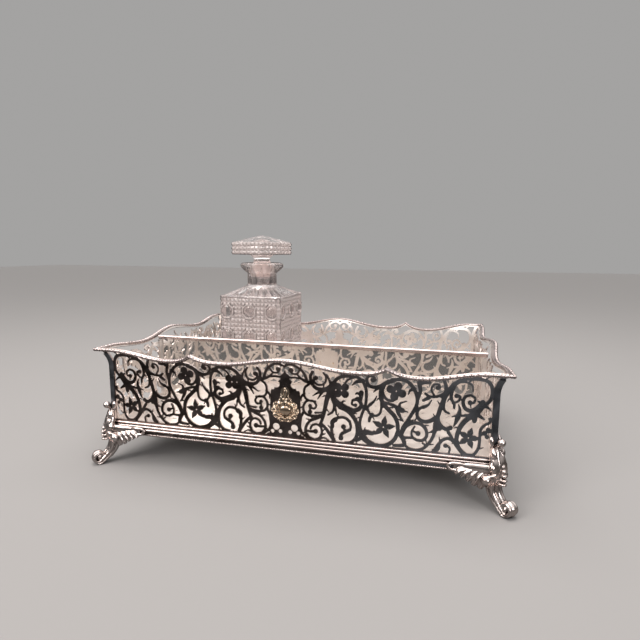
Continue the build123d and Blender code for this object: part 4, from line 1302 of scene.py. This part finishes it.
# The fluted and hobnail glass darken in their cuts as painted shade
FLUTED = cut_glass("fluted_glass", (0.84, 0.79, 0.78), 0.03, 0.12, grooves=(0.08, 0.07, 0.07), reach=5.0)
CUT = cut_glass("hobnail_glass", (0.76, 0.69, 0.67), 0.1, 0.5, grooves=(0.06, 0.05, 0.05))
GROUND = cut_glass("ground_glass", (0.7, 0.6, 0.57), 0.35, 0.4)

# ---- Assembly ----
long_sheet = pierced_sheet(HALF_LENGTH, LONG_RIM, 0, True)
end_sheet = pierced_sheet(HALF_DEPTH, END_RIM, END_SHIFT, False)
SIDES = {
    "front": (0, HALF_LENGTH, HALF_DEPTH, LONG_RIM, long_sheet),
    "right": (1, HALF_DEPTH, HALF_LENGTH, END_RIM, end_sheet),
    "back": (2, HALF_LENGTH, HALF_DEPTH, LONG_RIM, long_sheet),
    "left": (3, HALF_DEPTH, HALF_LENGTH, END_RIM, end_sheet),
}
for side, (turns, half_span, face, keys, sheet) in SIDES.items():
    wall = pierced_wall(f"{side}_pierced_wall", sheet, face, turns, [OUTSIDE, INSIDE, EDGES])
    place(wall, "stand", "silver_pierced", f"{side}_panel")
    rim = side_strip(
        f"{side}_beaded_rim", half_span, face, turns,
        rim_path(keys), RIM_SECTION, RIM_BEADS, [RIM],
    )
    place(rim, "stand", "silver_trim", f"{side}_rim")
    # The base moulding's cove takes the dark outside silver as painted shade
    moulding = side_strip(
        f"{side}_reeded_base", half_span, face, turns,
        moulding_path, MOULDING_SECTION, MOULDING_BEADS, [TRIM, OUTSIDE], COVE,
    )
    place(moulding, "stand", "silver_trim", f"{side}_base_moulding")

for corner, mirror_x, mirror_y in (
    ("front_right", False, False),
    ("front_left", True, False),
    ("back_right", False, True),
    ("back_left", True, True),
):
    strip = corner_strip(f"{corner}_corner_angle", mirror_x, mirror_y, STRIP)
    place(strip, "stand", "silver_plain", f"{corner}_corner_strip")
    cast_foot = foot(f"{corner}_cast_foot", mirror_x, mirror_y, CAST)
    place(cast_foot, "stand", "silver_cast", f"{corner}_foot")

for end_name, turns in (("front", 0), ("back", 2)):
    place(badge(f"{end_name}_gilt_badge", turns, GILT), "stand", "gilt", f"{end_name}_badge")

GLASS_MATERIALS = [GLASS, GROUND, CUT, FLUTED]
place(bottle("cut_glass_bottle", GLASS_MATERIALS), "bottle", "clear_glass", "bottle")
place(stopper("cut_glass_stopper", GLASS_MATERIALS), "stopper", "clear_glass", "stopper")

# CAD pieces whose shape is already right take their finish here
for node, material in {
    "floor_plate": PLAIN,
    "divider_panel": MIRROR,
    "divider_rail": TRIM,
    "left_divider_channel": PLAIN,
    "right_divider_channel": PLAIN,
    "front_badge_pins": GILT,
    "back_badge_pins": GILT,
}.items():
    data = frame["nodes"][node].data
    data.materials.clear()
    data.materials.append(material)

# ---- Stage, light and camera ----
STAGE = 4.0  # half the floor's width, in metres
stage_mesh = bpy.data.meshes.new("stage_floor")
corners = [(-STAGE, -STAGE, 0), (STAGE, -STAGE, 0), (STAGE, STAGE, 0), (-STAGE, STAGE, 0)]
stage_mesh.from_pydata(corners, [], [(0, 1, 2, 3)])
stage_floor = bpy.data.objects.new("stage_floor", stage_mesh)
bpy.context.scene.collection.objects.link(stage_floor)
floor_material, tree, shader = new_material("pale_floor")
set_inputs(tree, shader, {"Roughness": 0.9, "Base Color": (0.36, 0.35, 0.345, 1)})
# Polished silver sees the floor bright only close to the stand, as in a dark studio
where = add_node(tree, "TexCoord", "Object", {})
away = add_node(tree, "VectorMath", "Value", {0: where}, operation="LENGTH")
dim = ramp(tree, away, [(0.2, grey(0.15)), (0.32, grey(0.04))])
dark_floor = add_node(tree, "BsdfDiffuse", "BSDF", {"Color": dim})
surface = two_looks(tree, "Is Glossy Ray", shader.outputs["BSDF"], dark_floor)
set_inputs(tree, tree.nodes["Material Output"], {"Surface": surface})
stage_mesh.materials.append(floor_material)

world = bpy.data.worlds.new("studio")
bpy.context.scene.world = world
world.use_nodes = True
tree = world.node_tree
backdrop = tree.nodes["Background"]
set_inputs(tree, backdrop, {"Color": (0.74, 0.73, 0.72, 1), "Strength": 0.5})
# It sees a room that brightens upwards
gaze = add_node(tree, "TexCoord", "Generated", {})
upwards = add_node(tree, "SeparateXYZ", "Z", {"Vector": gaze})
room = ramp(tree, upwards, [(0.02, grey(0.05)), (0.3, grey(0.35)), (0.7, grey(0.9))])
dark_room = add_node(tree, "Background", "Background", {"Color": room})
surface = two_looks(tree, "Is Glossy Ray", backdrop.outputs["Background"], dark_room)
set_inputs(tree, tree.nodes["World Output"], {"Surface": surface})


def add_light(name, kind, power, colour, **settings):
    light = bpy.data.lights.new(name, kind)
    light.energy = power
    light.color = colour
    for key, value in settings.items():
        setattr(light, key, value)
    obj = bpy.data.objects.new(name, light)
    bpy.context.scene.collection.objects.link(obj)
    return obj


def softbox(name, position, target, width, height, power, colour):
    """A rectangular light turned to its target."""
    obj = add_light(name, "AREA", power, colour, shape="RECTANGLE", size=width, size_y=height)
    obj.location = position
    obj.rotation_euler = (Vector(target) - Vector(position)).to_track_quat("-Z", "Y").to_euler()


WARM = (1.0, 0.95, 0.92)
softbox("overhead", (0.0, 0.1, 1.0), (0, 0, 0.05), 1.0, 0.7, 6, WARM)
softbox("front_left", (-0.8, -1.0, 0.7), (0, 0, 0.06), 0.45, 0.5, 5.5, WARM)
softbox("front_right", (0.9, -1.0, 0.45), (0, 0, 0.06), 0.35, 0.5, 4, (0.98, 0.98, 1.0))
sky = add_light("sky", "SUN", 1.6, WARM, angle=radians(70))
sky.rotation_euler = (radians(20), radians(-15), 0)
bpy.context.scene.view_settings.view_transform = "Standard"

CAMERA_POSITION = (104.43, -422.14, 175.48)
CAMERA_YAW = radians(13.71)
CAMERA_PITCH = radians(8.47)
CAMERA_ROLL = radians(0.38)
heading = Vector((-sin(CAMERA_YAW), cos(CAMERA_YAW), 0))
forward = heading * cos(CAMERA_PITCH) - Vector((0, 0, sin(CAMERA_PITCH)))
level = Vector((cos(CAMERA_YAW), sin(CAMERA_YAW), 0))
upright = level.cross(forward)
right = level * cos(CAMERA_ROLL) + upright * sin(CAMERA_ROLL)
upward = upright * cos(CAMERA_ROLL) - level * sin(CAMERA_ROLL)
camera = bpy.data.objects.new("camera", bpy.data.cameras.new("camera"))
camera.data.lens = 26.14
camera.data.sensor_width = 36.0
camera.data.clip_start = 0.01
matrix = Matrix((right, upward, -forward)).transposed().to_4x4()
matrix.translation = Vector(CAMERA_POSITION) * MM
camera.matrix_world = matrix
bpy.context.scene.collection.objects.link(camera)
bpy.context.scene.camera = camera
